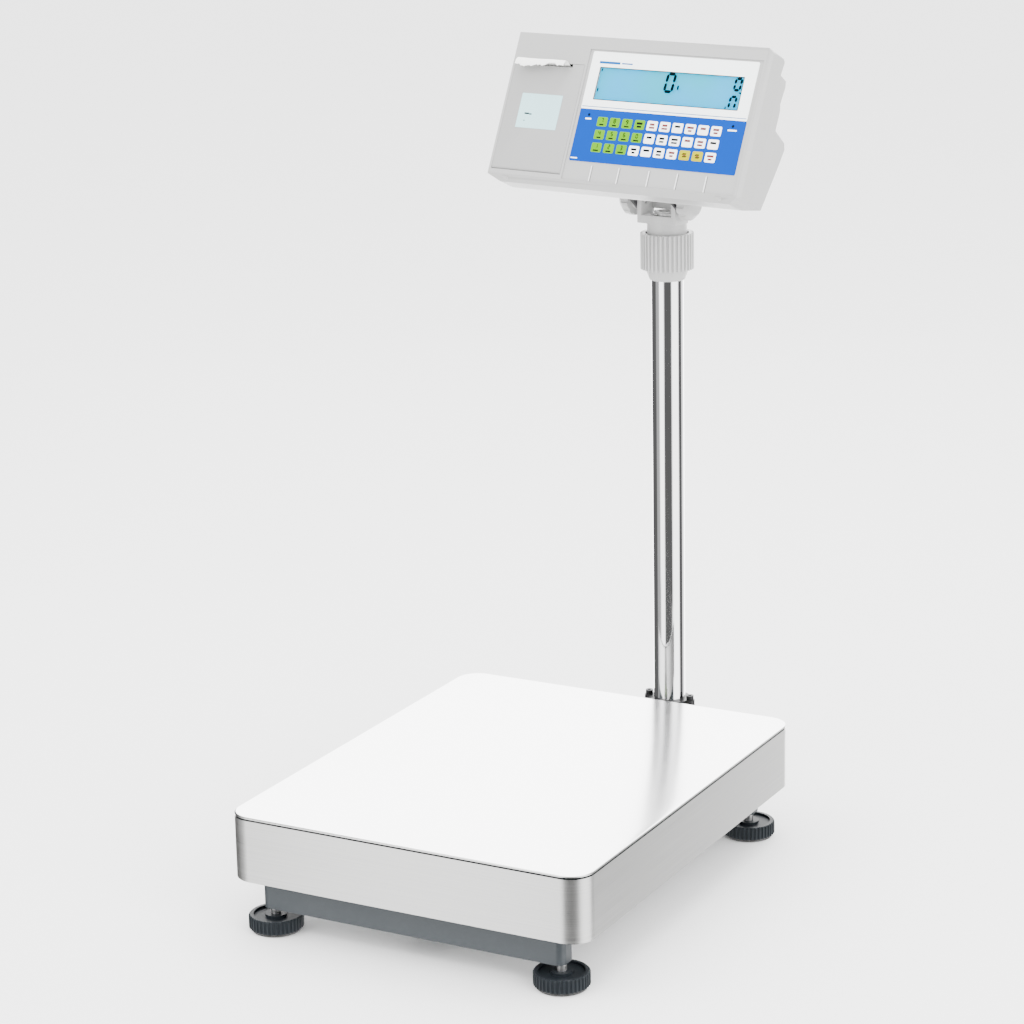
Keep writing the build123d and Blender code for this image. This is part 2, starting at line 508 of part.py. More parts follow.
def shell_screws():
    """Four screws that hold the two halves of the case together."""
    screws = Part()
    for x, z, seat in SCREW_PLACES:
        screws += deep(x, z, 13, seat, CASE_SCREW_R) + deep(x, z, seat, seat + 2, CASE_SCREW_HEAD_R)
    return screws


def keypad_overlay():
    """Printed membrane over the display side, with an opening for the display and raised key zones."""
    x0, x1, z0, z1 = OVERLAY_BOX
    sheet = block(x0, x1, POCKET - 0.6, POCKET, z0, z1)
    x0, x1, z0, z1 = LCD_BOX
    sheet -= block(x0, x1, 0, POCKET, z0, z1)
    for row in range(KEY_ROWS):
        for col in range(KEY_COLS):
            x, z = KEY_X0 + col * KEY_PITCH_X, KEY_Z0 - row * KEY_PITCH_Z
            w, h = KEY_W / 2, KEY_H / 2
            sheet += block(x - w, x + w, POCKET - 0.9, POCKET - 0.3, z - h, z + h)
    return sheet


def display_window():
    """Clear window over the display."""
    x0, x1, z0, z1 = LCD_BOX
    return block(x0 + 0.1, x1 - 0.1, 0.7, CASE_WALL - 0.1, z0 + 0.1, z1 - 0.1)


def lcd_panel():
    """Display glass with its backlight frame."""
    x0, x1, z0, z1 = LCD_BOX
    return block(x0 - 3, x1 + 3, CASE_WALL + 0.1, CASE_WALL + 6, z0 - 3, z1 + 3)


def main_board():
    """Main circuit board with its larger components."""
    board = block(-52, 148, 13, 14.6, -56, 58)
    components = ((0, 30, 30, 30, 3), (60, 20, 18, 18, 2.5), (110, -20, 26, 16, 12), (-30, -30, 14, 20, 9))
    for x, z, w, d, h in components:
        board += block(x - w / 2, x + w / 2, 14.5, 14.5 + h, z - d / 2, z + d / 2)
    return board


def battery():
    """Rechargeable battery pack in the lower back of the case."""
    pack = block(-58, 34, 26, 44, -66, -30)
    return pack + block(-52, -44, 25, 26.5, -62, -54) + block(20, 28, 25, 26.5, -62, -54)


def cell_socket():
    """Round socket for the load cell's plug."""
    socket = Pos(0, 0, 1) * Cylinder(11, 2) + Pos(0, 0, 7) * Cylinder(8, 10) + Pos(0, 0, -4) * Cylinder(8, 8)
    socket -= Pos(0, 0, 8) * Cylinder(6, 8.1)
    for i in range(5):
        a = math.radians(72 * i)
        socket += Pos(3.4 * math.cos(a), 3.4 * math.sin(a), 6) * Cylinder(0.6, 6)
    return back_plane(CELL_SOCKET_X, BACK_MID) * socket


def serial_port():
    """Nine-way serial connector with its two jack posts."""
    port = Pos(0, 0, 0.5) * Box(31, 12.6, 1) + Pos(0, 0, 3) * Box(17, 8.4, 6) + Pos(0, 0, -4) * Box(18, 9, 8)
    port -= Pos(0, 0, 4) * Box(15, 6.4, 4.2)
    for x in (-12.5, 12.5):
        port += Pos(x, 0, 2.5) * Cylinder(2.4, 5)
    return back_plane(SERIAL_X, BACK_MID) * port


def power_inlet():
    """Mains inlet with three blades."""
    inlet = Pos(0, 0, 1.25) * Box(36, 26, 2.5) + Pos(0, 0, -9) * Box(28, 20, 18)
    inlet -= Pos(0, 0, -5) * Box(24, 16, 15.1)
    for x, y in ((-7, 2), (7, 2), (0, -2)):
        inlet += Pos(x, y, -7) * Box(2, 4.5, 12)
    return back_plane(INLET_X, BACK_MID) * inlet


def power_rocker():
    """Rocker of the power switch, on two small pivots."""
    rocker = side_slab([(-10, 0.4), (0, -0.6), (10, 3.0), (10, -3.5), (-10, -3.5)], -6.2, 6.2)
    rocker += Pos(0, 0, -1.5) * Rot(0, 90, 0) * Cylinder(0.9, 14.2)
    return back_plane(SWITCH_X, BACK_MID) * rocker


def bracket_screw_places():
    return [(x, s) for x in (-17.0, 17.0) for s in (14.0, 38.0)]


def tilt_bracket():
    """Folded steel bracket on the case's lower back, with an ear outside each of the yoke's cheeks."""
    t, x1 = LUG_STEEL, YOKE_HALF + LUG_GAP + LUG_STEEL
    bracket = back_plane(0, (WEB_LOW + WEB_HIGH) / 2) * Pos(0, 0, t / 2) * Box(2 * x1, WEB_HIGH - WEB_LOW, t)
    a, b = back_plane(0, EAR_LOW).origin, back_plane(0, EAR_HIGH).origin
    ty, tz = tilt_axis_in_case()
    span = math.hypot(b.Y - a.Y, b.Z - a.Z)
    ny, nz = LUG_R * (b.Y - a.Y) / span, LUG_R * (b.Z - a.Z) / span
    outline = [(a.Y, a.Z), (b.Y, b.Z), (ty + ny, tz + nz), (ty - ny, tz - nz)]
    for x0 in (-x1, x1 - t):
        bracket += side_slab(outline, x0, x0 + t) + across(x0, x0 + t, ty, tz, LUG_R)
    bracket -= across(-x1, x1, ty, tz, KNOB_STUD_R + KNOB_FIT)
    for x, s in bracket_screw_places():
        bracket -= back_plane(x, s) * Cylinder(LUG_SCREW_R + RUN_FIT, 8)
    return bracket


def tilt_axis_in_case():
    """The tilt axis as (y, z) in the case's own axes."""
    dy, dz, t = TILT_Y - FACE_Y, TILT_Z - FACE_Z, math.radians(TILT)
    return dy * math.cos(t) - dz * math.sin(t), dy * math.sin(t) + dz * math.cos(t)


def bracket_screws():
    """Four screws that hold the tilt bracket on the case."""
    screws = Part()
    for x, s in bracket_screw_places():
        screw = Pos(0, 0, -2.5) * Cylinder(LUG_SCREW_R, 11) + Pos(0, 0, 4.2) * Cylinder(3.8, 2.4)
        screws += back_plane(x, s) * screw
    return screws


# --- printer ------------------------------------------------------------------------------------------
def printer_lid():
    """Door over the printer, hinged along its lower edge, that carries the platen roller."""
    lid = block(LID_X0, LID_X1, 0, 2.5, HINGE_Z, LID_TOP)
    lid += across(LID_X0, LID_X1, HINGE_Y, HINGE_Z, HINGE_R)
    lid -= block(SLOT_X0, SLOT_X1, -1, 3, SLOT_Z0, LID_TOP + 1)
    for x in (LID_X0 + 4, LID_X1 - 8):
        lid += block(x, x + 2.5, 2, PLATEN_Y + 3.4, PLATEN_Z - 4, PLATEN_Z + 4)
    lid -= across(LID_X0, LID_X1, PLATEN_Y, PLATEN_Z, 2 + RUN_FIT)
    return lid - across(LID_X0, LID_X1, HINGE_Y, HINGE_Z, HINGE_PIN_R + RUN_FIT)


def lid_hinge_pin():
    """Hinge pin of the printer lid."""
    return across(LID_X0 - 2.8, LID_X1 + 2.8, HINGE_Y, HINGE_Z, HINGE_PIN_R)


def platen_roller():
    """Rubber platen roller with its shaft and drive gear."""
    roller = across(LID_X0 + 3, LID_X1 - 0.6, PLATEN_Y, PLATEN_Z, 2)
    roller += across(LID_X0 + 7.2, LID_X1 - 8.6, PLATEN_Y, PLATEN_Z, PLATEN_R)
    gear = across(LID_X1 - 5, LID_X1 - 1, PLATEN_Y, PLATEN_Z, 5.8)
    teeth = 18
    for i in range(teeth):
        a = 2 * math.pi * i / teeth
        gear -= across(LID_X1 - 5, LID_X1 - 1, PLATEN_Y + 6 * math.cos(a), PLATEN_Z + 6 * math.sin(a), 0.55)
    return roller + gear


def print_head():
    """Thermal print head on its heat sink, just behind the platen."""
    y0 = PLATEN_Y + PLATEN_R + 0.6
    head = block(-152.9, -82.1, y0, y0 + 3, 30, 44) + block(-152.9, -82.1, y0 + 3, y0 + 6, 32, 44)
    return head


def printer_chassis():
    """Two side plates, tied together, that hold the paper roll and the print head."""
    plate = [(17, 44), (30, 44), (40, 4), (58, -14), (50, -48), (17, -48)]
    chassis = side_slab(plate, -155, -153) + side_slab(plate, -82, -80)
    chassis += block(-154, -81, 20.6, 22.6, 30, 43) + block(-154, -81, 17, 46, -55, -52.5)
    chassis += block(-155, -153, 17, 46, -55, -47) + block(-82, -80, 17, 46, -55, -47)
    return chassis - across(-156, -79, ROLL_Y, ROLL_Z, SPINDLE_R + RUN_FIT)


def paper_roll():
    """Paper roll on its spindle."""
    return across(ROLL_X0, ROLL_X1, ROLL_Y, ROLL_Z, ROLL_R) + across(-154.8, -80.2, ROLL_Y, ROLL_Z, SPINDLE_R)


def paper_strip():
    """End of the paper, from the platen out through the slot."""
    back = PLATEN_Y + PLATEN_R + 0.3
    line = FilletPolyline((back, 36), (back, 42), (8, 45.7), (0, 46), (-5, 49), (-10, 47.5), (-11, 40),
                          radius=1.2)
    strip = trace(line, 0.25)
    return Pos(-150, 0, 0) * extrude(Plane.YZ * strip, 65)


def label_sticker():
    """Blank label on the printer lid."""
    return block(-138, -84, -0.2, 0, -26.6, 12)


# --- assembly -------------------------------------------------------------------------------------------
def on_case(piece):
    """Places a piece made in the case's axes on the turned and tilted head."""
    return on_head(Pos(0, FACE_Y, FACE_Z) * Rot(-TILT, 0, 0) * piece)


def on_head(piece):
    """Places a piece made about the pillar axis, turned with the head."""
    return Pos(0, PILLAR_Y, 0) * Rot(0, 0, YAW) * piece


def make_nodes():
    nodes = {
        "base_frame": base_frame(), "load_cell": load_cell(),
        "lower_cell_plate": cell_plate(True, BEAM_Z1),
        "upper_cell_plate": cell_plate(False, BEAM_Z1 + CELL_PLATE + CELL_H),
        "lower_cell_bolts": cell_bolts(True), "upper_cell_bolts": cell_bolts(False),
        "overload_stops": overload_stops(), "cable_gland": cable_gland(),
        "upper_frame": upper_frame(), "pan_buffers": pan_buffers(), "pan": pan(),
        "pillar_bracket": pillar_bracket(), "bracket_bolts": bracket_bolts(),
        "pillar_socket": pillar_socket(), "socket_screws": socket_screws(), "pillar_tube": pillar_tube(),
        "level_body": level_body(), "level_vial": level_vial(), "foot_pads": foot_pads(),
    }
    feet = ("front_left", "front_right", "rear_left", "rear_right")
    for name, (x, y) in zip(feet, corners(FOOT_X, FOOT_Y0, FOOT_Y1)):
        nodes[name + "_foot_disc"] = foot_disc(x, y)
        nodes[name + "_foot_stud"] = foot_stud(x, y)
    on_pillar = {"head_stem": head_stem(), "stem_ring": stem_ring(), "lock_collar": lock_collar(),
                 "swivel_yoke": swivel_yoke(),
                 "right_tilt_knob": tilt_knob(), "left_tilt_knob": mirror(tilt_knob(), Plane.YZ),
                 "right_knob_stud": knob_stud(), "left_knob_stud": mirror(knob_stud(), Plane.YZ)}
    in_case = {"front_shell": front_shell(), "rear_shell": rear_shell(), "shell_screws": shell_screws(),
               "keypad_overlay": keypad_overlay(), "display_window": display_window(),
               "lcd_panel": lcd_panel(), "main_board": main_board(), "battery": battery(),
               "cell_socket": cell_socket(),
               "serial_port": serial_port(), "power_inlet": power_inlet(), "power_rocker": power_rocker(),
               "tilt_bracket": tilt_bracket(), "case_screws": bracket_screws(), "printer_lid": printer_lid(),
               "lid_hinge_pin": lid_hinge_pin(), "platen_roller": platen_roller(), "print_head": print_head(),
               "printer_chassis": printer_chassis(), "paper_roll": paper_roll(), "paper_strip": paper_strip(),
               "label_sticker": label_sticker()}
    nodes.update({name: on_head(piece) for name, piece in on_pillar.items()})
    nodes.update({name: on_case(piece) for name, piece in in_case.items()})
    return nodes


os.makedirs("parts", exist_ok=True)
for node, solid in make_nodes().items():
    export_step(Pos(0, -OVERALL_D / 2, 0) * solid, f"parts/{node}.step")
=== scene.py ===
import json
import math
import random

import bmesh
import bpy
from mathutils import Matrix, Vector


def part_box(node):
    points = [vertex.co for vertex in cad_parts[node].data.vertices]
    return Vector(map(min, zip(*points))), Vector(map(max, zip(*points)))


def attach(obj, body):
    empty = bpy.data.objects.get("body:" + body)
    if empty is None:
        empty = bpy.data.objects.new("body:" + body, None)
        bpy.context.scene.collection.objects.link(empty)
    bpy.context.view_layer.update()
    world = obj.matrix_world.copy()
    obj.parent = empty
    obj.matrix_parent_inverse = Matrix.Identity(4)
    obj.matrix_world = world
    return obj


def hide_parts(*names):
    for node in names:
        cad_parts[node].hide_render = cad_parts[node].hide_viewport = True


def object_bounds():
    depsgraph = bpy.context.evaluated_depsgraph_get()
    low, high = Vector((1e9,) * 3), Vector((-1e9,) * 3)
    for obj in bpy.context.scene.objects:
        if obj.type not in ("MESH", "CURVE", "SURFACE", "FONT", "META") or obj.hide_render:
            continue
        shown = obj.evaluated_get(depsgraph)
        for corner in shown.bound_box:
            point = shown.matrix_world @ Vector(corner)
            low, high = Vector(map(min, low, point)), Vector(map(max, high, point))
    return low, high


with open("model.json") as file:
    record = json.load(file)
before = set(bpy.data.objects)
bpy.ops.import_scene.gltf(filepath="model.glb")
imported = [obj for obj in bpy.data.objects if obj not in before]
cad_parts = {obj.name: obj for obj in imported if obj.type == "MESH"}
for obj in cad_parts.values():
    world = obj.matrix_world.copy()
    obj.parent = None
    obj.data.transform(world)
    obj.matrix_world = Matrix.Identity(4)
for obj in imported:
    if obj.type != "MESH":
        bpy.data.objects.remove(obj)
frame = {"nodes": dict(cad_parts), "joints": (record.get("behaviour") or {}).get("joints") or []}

# ---------------------------------------------------------------------------------------------
# Frame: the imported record's joints and the CAD boxes give every position. Lengths are in metres,
# except in the case's own axes, which are in millimetres and are turned into metres by CASE.
# ---------------------------------------------------------------------------------------------
CAD_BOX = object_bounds()
MM = 0.001
JOINTS = {j["name"]: j for j in frame["joints"]}

HINGE_YZ, PLATEN_YZ, PRINTER_X = (3.0, -71.0), (9.0, 38.0), -111.0


def case_matrix():
    """Case axes (X across, Y into the case, Z up its face, in mm) to the row frame, from two hinge axes."""
    low = Vector(JOINTS["printer_lid_open"]["pos_m"])
    high = Vector(JOINTS["platen_spin"]["pos_m"])
    x_dir = Vector(JOINTS["printer_lid_open"]["axis"]).normalized()
    span = high - low
    dy, dz = PLATEN_YZ[0] - HINGE_YZ[0], PLATEN_YZ[1] - HINGE_YZ[1]
    side = x_dir.cross(span)
    y_dir = (dy * span - dz * side).normalized()
    z_dir = x_dir.cross(y_dir)
    m = Matrix((x_dir, y_dir, z_dir)).transposed().to_4x4() @ Matrix.Scale(MM, 4)
    offset = m @ Vector((PRINTER_X, HINGE_YZ[0], HINGE_YZ[1]))
    return Matrix.Translation(low - offset) @ m


CASE = case_matrix()
PILLAR = Vector(JOINTS["head_swivel"]["pos_m"])

# camera: the viewing angle, roll and focal length of a long lens, and where it stands
CAM_AZIMUTH, CAM_ELEVATION, CAM_ROLL, CAM_LENS, CAM_Z = 28.56, 15.32, -1.137, 106.48, 1.2081
CAM_PLACE = Vector((1.4112, -2.6736, CAM_Z))


# ---------------------------------------------------------------------------------------------
# Node helpers
# ---------------------------------------------------------------------------------------------
class Shader:
    """A small builder for one procedural material round a Principled shader."""

    def __init__(self, name, color, rough, metallic=0.0, **sockets):
        self.mat = bpy.data.materials.new(name)
        self.mat.use_nodes = True
        self.tree = self.mat.node_tree
        self.bsdf = self.tree.nodes["Principled BSDF"]
        self.set("Base Color", (*color, 1.0))
        self.set("Roughness", rough)
        self.set("Metallic", metallic)
        for key, value in sockets.items():
            self.set(key.replace("_", " "), value)
        self.color, self.rough = color, rough

    def set(self, socket, value):
        self.bsdf.inputs[socket].default_value = value

    def node(self, kind, **values):
        n = self.tree.nodes.new(kind)
        for key, value in values.items():
            if hasattr(n, key) and key not in n.inputs:
                setattr(n, key, value)
            else:
                n.inputs[key.replace("_", " ")].default_value = value
        return n

    def link(self, out, socket):
        self.tree.links.new(out, socket)

    def coords(self, scale=(1, 1, 1), rotation=(0, 0, 0)):
        tc = self.node("ShaderNodeTexCoord")
        mp = self.node("ShaderNodeMapping")
        mp.inputs["Scale"].default_value = scale
        mp.inputs["Rotation"].default_value = rotation
        self.link(tc.outputs["Object"], mp.inputs["Vector"])
        return mp.outputs["Vector"]

    def noise(self, scale, stretch=(1, 1, 1), detail=3.0, rough=0.55, rotation=(0, 0, 0)):
        n = self.node("ShaderNodeTexNoise", Scale=scale, Detail=detail, Roughness=rough)
        self.link(self.coords(stretch, rotation), n.inputs["Vector"])
        return n.outputs["Fac"]

    def ramp(self, fac, low, high, lo_out=0.0, hi_out=1.0):
        r = self.node("ShaderNodeMapRange", clamp=True)
        for key, value in (("From Min", low), ("From Max", high), ("To Min", lo_out), ("To Max", hi_out)):
            r.inputs[key].default_value = value
        self.link(fac, r.inputs["Value"])
        return r.outputs["Result"]

    def mix(self, fac, a, b):
        m = self.node("ShaderNodeMix", data_type="RGBA")
        self.link(fac, m.inputs[0])
        for socket, value in ((m.inputs[6], a), (m.inputs[7], b)):
            if isinstance(value, tuple):
                socket.default_value = (*value, 1.0)
            else:
                self.link(value, socket)
        return m.outputs[2]

    def tint(self, fac, amount):
        """Colour that varies round the base colour by amount each way."""
        lo = tuple(c * (1 - amount) for c in self.color)
        hi = tuple(min(1.0, c * (1 + amount)) for c in self.color)
        return self.mix(fac, lo, hi)

    def bump(self, height, distance, strength=1.0, normal=None):
        b = self.node("ShaderNodeBump", Strength=strength, Distance=distance)
        self.link(height, b.inputs["Height"])
        if normal:
            self.link(normal, b.inputs["Normal"])
        self.link(b.outputs["Normal"], self.bsdf.inputs["Normal"])
        return b.outputs["Normal"]

    def edges(self, low, high):
        """1 on sharp outer edges, 0 elsewhere."""
        geo = self.node("ShaderNodeNewGeometry")
        return self.ramp(geo.outputs["Pointiness"], low, high)


def moulded(name, color, rough=0.42, grain=2600.0, depth=0.00004, vary=0.04, **sockets):
    """Injection-moulded plastic: a fine spark-eroded grain, faint flow variation, lighter worn edges."""
    s = Shader(name, color, rough, **sockets)
    flow = s.noise(9.0, detail=4)
    grain_fac = s.noise(grain, detail=2)
    worn = s.edges(0.53, 0.60)
    base = s.tint(s.ramp(flow, 0.3, 0.7), vary)
    light = tuple(min(1.0, c * 1.12 + 0.02) for c in color)
    s.link(s.mix(worn, base, light), s.bsdf.inputs["Base Color"])
    s.link(s.ramp(flow, 0.25, 0.75, rough - 0.04, rough + 0.06), s.bsdf.inputs["Roughness"])
    s.bump(grain_fac, depth, 0.6)
    return s.mat


def coated(name, color, rough=0.38, peel=520.0, depth=0.00012):
    """Powder-coated steel: orange peel, a little dust in the grain and worn edges."""
    s = Shader(name, color, rough, 0.0, Specular_IOR_Level=0.25)
    peel_fac, blotch = s.noise(peel, detail=2), s.noise(14.0, detail=5)
    base = s.tint(s.ramp(blotch, 0.3, 0.7), 0.07)
    worn = s.ramp(s.noise(160.0, detail=4), 0.45, 0.62)
    edge = s.node("ShaderNodeMath", operation="MULTIPLY")
    s.link(s.edges(0.53, 0.60), edge.inputs[0])
    s.link(worn, edge.inputs[1])
    light = tuple(min(1.0, c * 1.25 + 0.006) for c in color)
    s.link(s.mix(edge.outputs[0], base, light), s.bsdf.inputs["Base Color"])
    s.link(s.ramp(blotch, 0.3, 0.7, rough - 0.06, rough + 0.08), s.bsdf.inputs["Roughness"])
    s.bump(peel_fac, depth, 0.5)
    return s.mat


def brushed(name, color, rough=0.3, stretch=(6, 6, 900), depth=0.00003, vary=0.06, **sockets):
    """Brushed metal whose lines run along the axes that stretch leaves short."""
    s = Shader(name, color, rough, 1.0, **sockets)
    lines, soft = s.noise(1.0, stretch, detail=5, rough=0.7), s.noise(7.0, detail=3)
    s.link(s.tint(s.ramp(lines, 0.3, 0.7), vary), s.bsdf.inputs["Base Color"])
    mixed = s.node("ShaderNodeMath", operation="ADD")
    s.link(s.ramp(lines, 0.3, 0.7, 0.0, 0.10), mixed.inputs[0])
    s.link(s.ramp(soft, 0.3, 0.7, rough - 0.08, rough + 0.03), mixed.inputs[1])
    s.link(mixed.outputs[0], s.bsdf.inputs["Roughness"])
    s.bump(lines, depth, 0.5)
    return s.mat


def plated(name, color=(0.62, 0.62, 0.62), rough=0.28):
    """Zinc-plated steel: small crystals and a soft sheen."""
    s = Shader(name, color, rough, 1.0)
    v = s.node("ShaderNodeTexVoronoi", Scale=420.0)
    s.link(s.coords(), v.inputs["Vector"])
    cloud = s.noise(40.0, detail=4)
    s.link(s.tint(s.ramp(cloud, 0.3, 0.7), 0.12), s.bsdf.inputs["Base Color"])
    s.link(s.ramp(v.outputs["Distance"], 0.0, 0.6, rough - 0.05, rough + 0.12), s.bsdf.inputs["Roughness"])
    s.bump(cloud, 0.00003, 0.4)
    return s.mat


def printed(name, color, rough=0.34, vary=0.02, gloss=0.12):
    """Ink on a polycarbonate overlay: a fine velvet texture under a soft gloss."""
    s = Shader(name, color, rough, 0.0, Specular_IOR_Level=gloss)
    fine, cloud = s.noise(3800.0, detail=1), s.noise(22.0, detail=3)
    s.link(s.tint(s.ramp(cloud, 0.3, 0.7), vary), s.bsdf.inputs["Base Color"])
    s.link(s.ramp(cloud, 0.3, 0.7, rough - 0.03, rough + 0.05), s.bsdf.inputs["Roughness"])
    s.bump(fine, 0.00001, 0.5)
    return s.mat


def rubbery(name, color=(0.03, 0.03, 0.03), rough=0.7):
    s = Shader(name, color, rough)
    cloud = s.noise(60.0, detail=6)
    s.link(s.tint(s.ramp(cloud, 0.3, 0.7), 0.25), s.bsdf.inputs["Base Color"])
    s.link(s.ramp(cloud, 0.3, 0.7, rough - 0.1, rough + 0.1), s.bsdf.inputs["Roughness"])
    s.bump(s.noise(1500.0, detail=3), 0.00005, 0.6)
    return s.mat


def chromed(name):
    """Polished tube: a mirror with faint handling haze and fine lengthwise draw lines."""
    s = Shader(name, (0.80, 0.80, 0.81), 0.05, 1.0)
    haze, draw = s.noise(11.0, detail=5), s.noise(1.0, (900, 900, 3), detail=3)
    s.link(s.tint(s.ramp(haze, 0.35, 0.7), 0.03), s.bsdf.inputs["Base Color"])
    s.link(s.ramp(haze, 0.35, 0.75, 0.035, 0.11), s.bsdf.inputs["Roughness"])
    s.bump(draw, 0.000004, 0.4)
    return s.mat


def papery(name, color=(0.92, 0.92, 0.90)):
    s = Shader(name, color, 0.75)
    fibre = s.noise(900.0, (1, 1, 3), detail=5)
    s.link(s.tint(s.ramp(fibre, 0.3, 0.7), 0.03), s.bsdf.inputs["Base Color"])
    s.link(s.ramp(fibre, 0.3, 0.7, 0.65, 0.85), s.bsdf.inputs["Roughness"])
    s.bump(fibre, 0.00002, 0.6)
    return s.mat


def clear(name):
    """Thin clear window: almost nothing but its gloss."""
    s = Shader(name, (0.1, 0.6, 0.7), 0.06, 0.0, Alpha=0.015, Specular_IOR_Level=0.08)
    s.link(s.ramp(s.noise(30.0), 0.3, 0.7, 0.04, 0.09), s.bsdf.inputs["Roughness"])
    return s.mat


def display_glow(name):
    """Lit display: pale cyan, a little greener in soft patches."""
    s = Shader(name, (0.0, 0.12, 0.24), 0.3, 0.0, Specular_IOR_Level=0.05)
    col = s.mix(s.ramp(s.noise(14.0, detail=2), 0.38, 0.62), (0.0, 0.135, 0.20), (0.0, 0.13, 0.25))
    s.link(col, s.bsdf.inputs["Base Color"])
    s.link(col, s.bsdf.inputs["Emission Color"])
    s.set("Emission Strength", 5.0)
    return s.mat


def board_green(name):
    """Solder mask with copper traces under it."""
    s = Shader(name, (0.02, 0.16, 0.07), 0.3)
    b = s.node("ShaderNodeTexBrick", Scale=260.0)
    s.link(s.coords(), b.inputs["Vector"])
    b.inputs["Color1"].default_value = (0.02, 0.16, 0.07, 1)
    b.inputs["Color2"].default_value = (0.02, 0.13, 0.06, 1)
    b.inputs["Mortar"].default_value = (0.08, 0.30, 0.12, 1)
    s.link(b.outputs["Color"], s.bsdf.inputs["Base Color"])
    s.bump(b.outputs["Fac"], 0.00003, 0.5)
    return s.mat


# ---------------------------------------------------------------------------------------------
# Mesh helpers
# ---------------------------------------------------------------------------------------------
def piece(name, verts, faces, mat, body, matrix=None, smooth=None, slot=None):
    """Makes one visible piece that rides on a body."""
    mesh = bpy.data.meshes.new(name)
    mesh.from_pydata([tuple(v) for v in verts], [], faces)
    if matrix is not None:
        mesh.transform(matrix)
    mesh.validate()
    bm = bmesh.new()
    bm.from_mesh(mesh)
    bmesh.ops.remove_doubles(bm, verts=bm.verts, dist=1e-7)
    bmesh.ops.recalc_face_normals(bm, faces=bm.faces)
    bm.to_mesh(mesh)
    bm.free()
    mesh.materials.append(mat)
    obj = bpy.data.objects.new(name, mesh)
    bpy.context.scene.collection.objects.link(obj)
    if smooth is not None:
        shade(obj, smooth)
    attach(obj, body)
    return obj


def shade(obj, angle):
    """Smooth shading below an angle between faces, in degrees."""
    for p in obj.data.polygons:
        p.use_smooth = True
    obj.data.set_sharp_from_angle(angle=math.radians(angle))


def rounded_rect(x0, x1, z0, z1, r, steps=5):
    """Outline of a rounded rectangle, counter-clockwise, as (x, z)."""
    points = []
    centres = ((x1 - r, z0 + r, -90), (x1 - r, z1 - r, 0), (x0 + r, z1 - r, 90), (x0 + r, z0 + r, 180))
    for cx, cz, start in centres:
        for i in range(steps + 1):
            a = math.radians(start + 90 * i / steps)
            points.append((cx + r * math.cos(a), cz + r * math.sin(a)))
    return points


def stack(loops, cap_start=True, cap_end=True):
    """Faces between loops of equally many points."""
    verts, faces, n = [], [], len(loops[0])
    for loop in loops:
        verts += loop
    for k in range(len(loops) - 1):
        for i in range(n):
            j = (i + 1) % n
            faces.append((k * n + i, k * n + j, (k + 1) * n + j, (k + 1) * n + i))
    if cap_start:
        faces.append(tuple(range(n))[::-1])
    if cap_end:
        faces.append(tuple(range((len(loops) - 1) * n, len(loops) * n)))
    return verts, faces


def plate(x0, x1, z0, z1, y_back, y_front, r, edge=0.0, steps=5):
    """A rounded plate in case axes with an eased front edge."""
    def loop(inset, y):
        outline = rounded_rect(x0 + inset, x1 - inset, z0 + inset, z1 - inset, r - inset, steps)
        return [(x, y, z) for x, z in outline]

    loops = [loop(0, y_back)]
    if edge:
        for k in range(4):
            a = math.radians(30 * k)
            loops.append(loop(edge * (1 - math.cos(a)), y_front + edge * (1 - math.sin(a))))
    else:
        loops.append(loop(0, y_front))
    return stack(loops)


def many(parts):
    """Joins several (verts, faces) into one."""
    verts, faces = [], []
    for v, f in parts:
        faces += [tuple(i + len(verts) for i in face) for face in f]
        verts += v
    return verts, faces


def finish_cad(node, mat, bevel=0.0, angle=32):
    """Gives a carried-over CAD node its material, clean shading and softly broken edges."""
    obj = frame["nodes"][node]
    obj.data.materials.clear()
    obj.data.materials.append(mat)
    weld = obj.modifiers.new("weld", "WELD")
    weld.merge_threshold = 1e-6
    if bevel:
        flat = obj.modifiers.new("flat", "DECIMATE")
        flat.decimate_type, flat.angle_limit = "DISSOLVE", math.radians(0.6)
        bv = obj.modifiers.new("edges", "BEVEL")
        bv.width, bv.segments, bv.limit_method = bevel, 2, "ANGLE"
        bv.angle_limit, bv.harden_normals = math.radians(angle), False
        bv.use_clamp_overlap = True
    for p in obj.data.polygons:
        p.use_smooth = True
    smooth = obj.modifiers.new("normals", "WEIGHTED_NORMAL")
    smooth.keep_sharp = False
    return obj


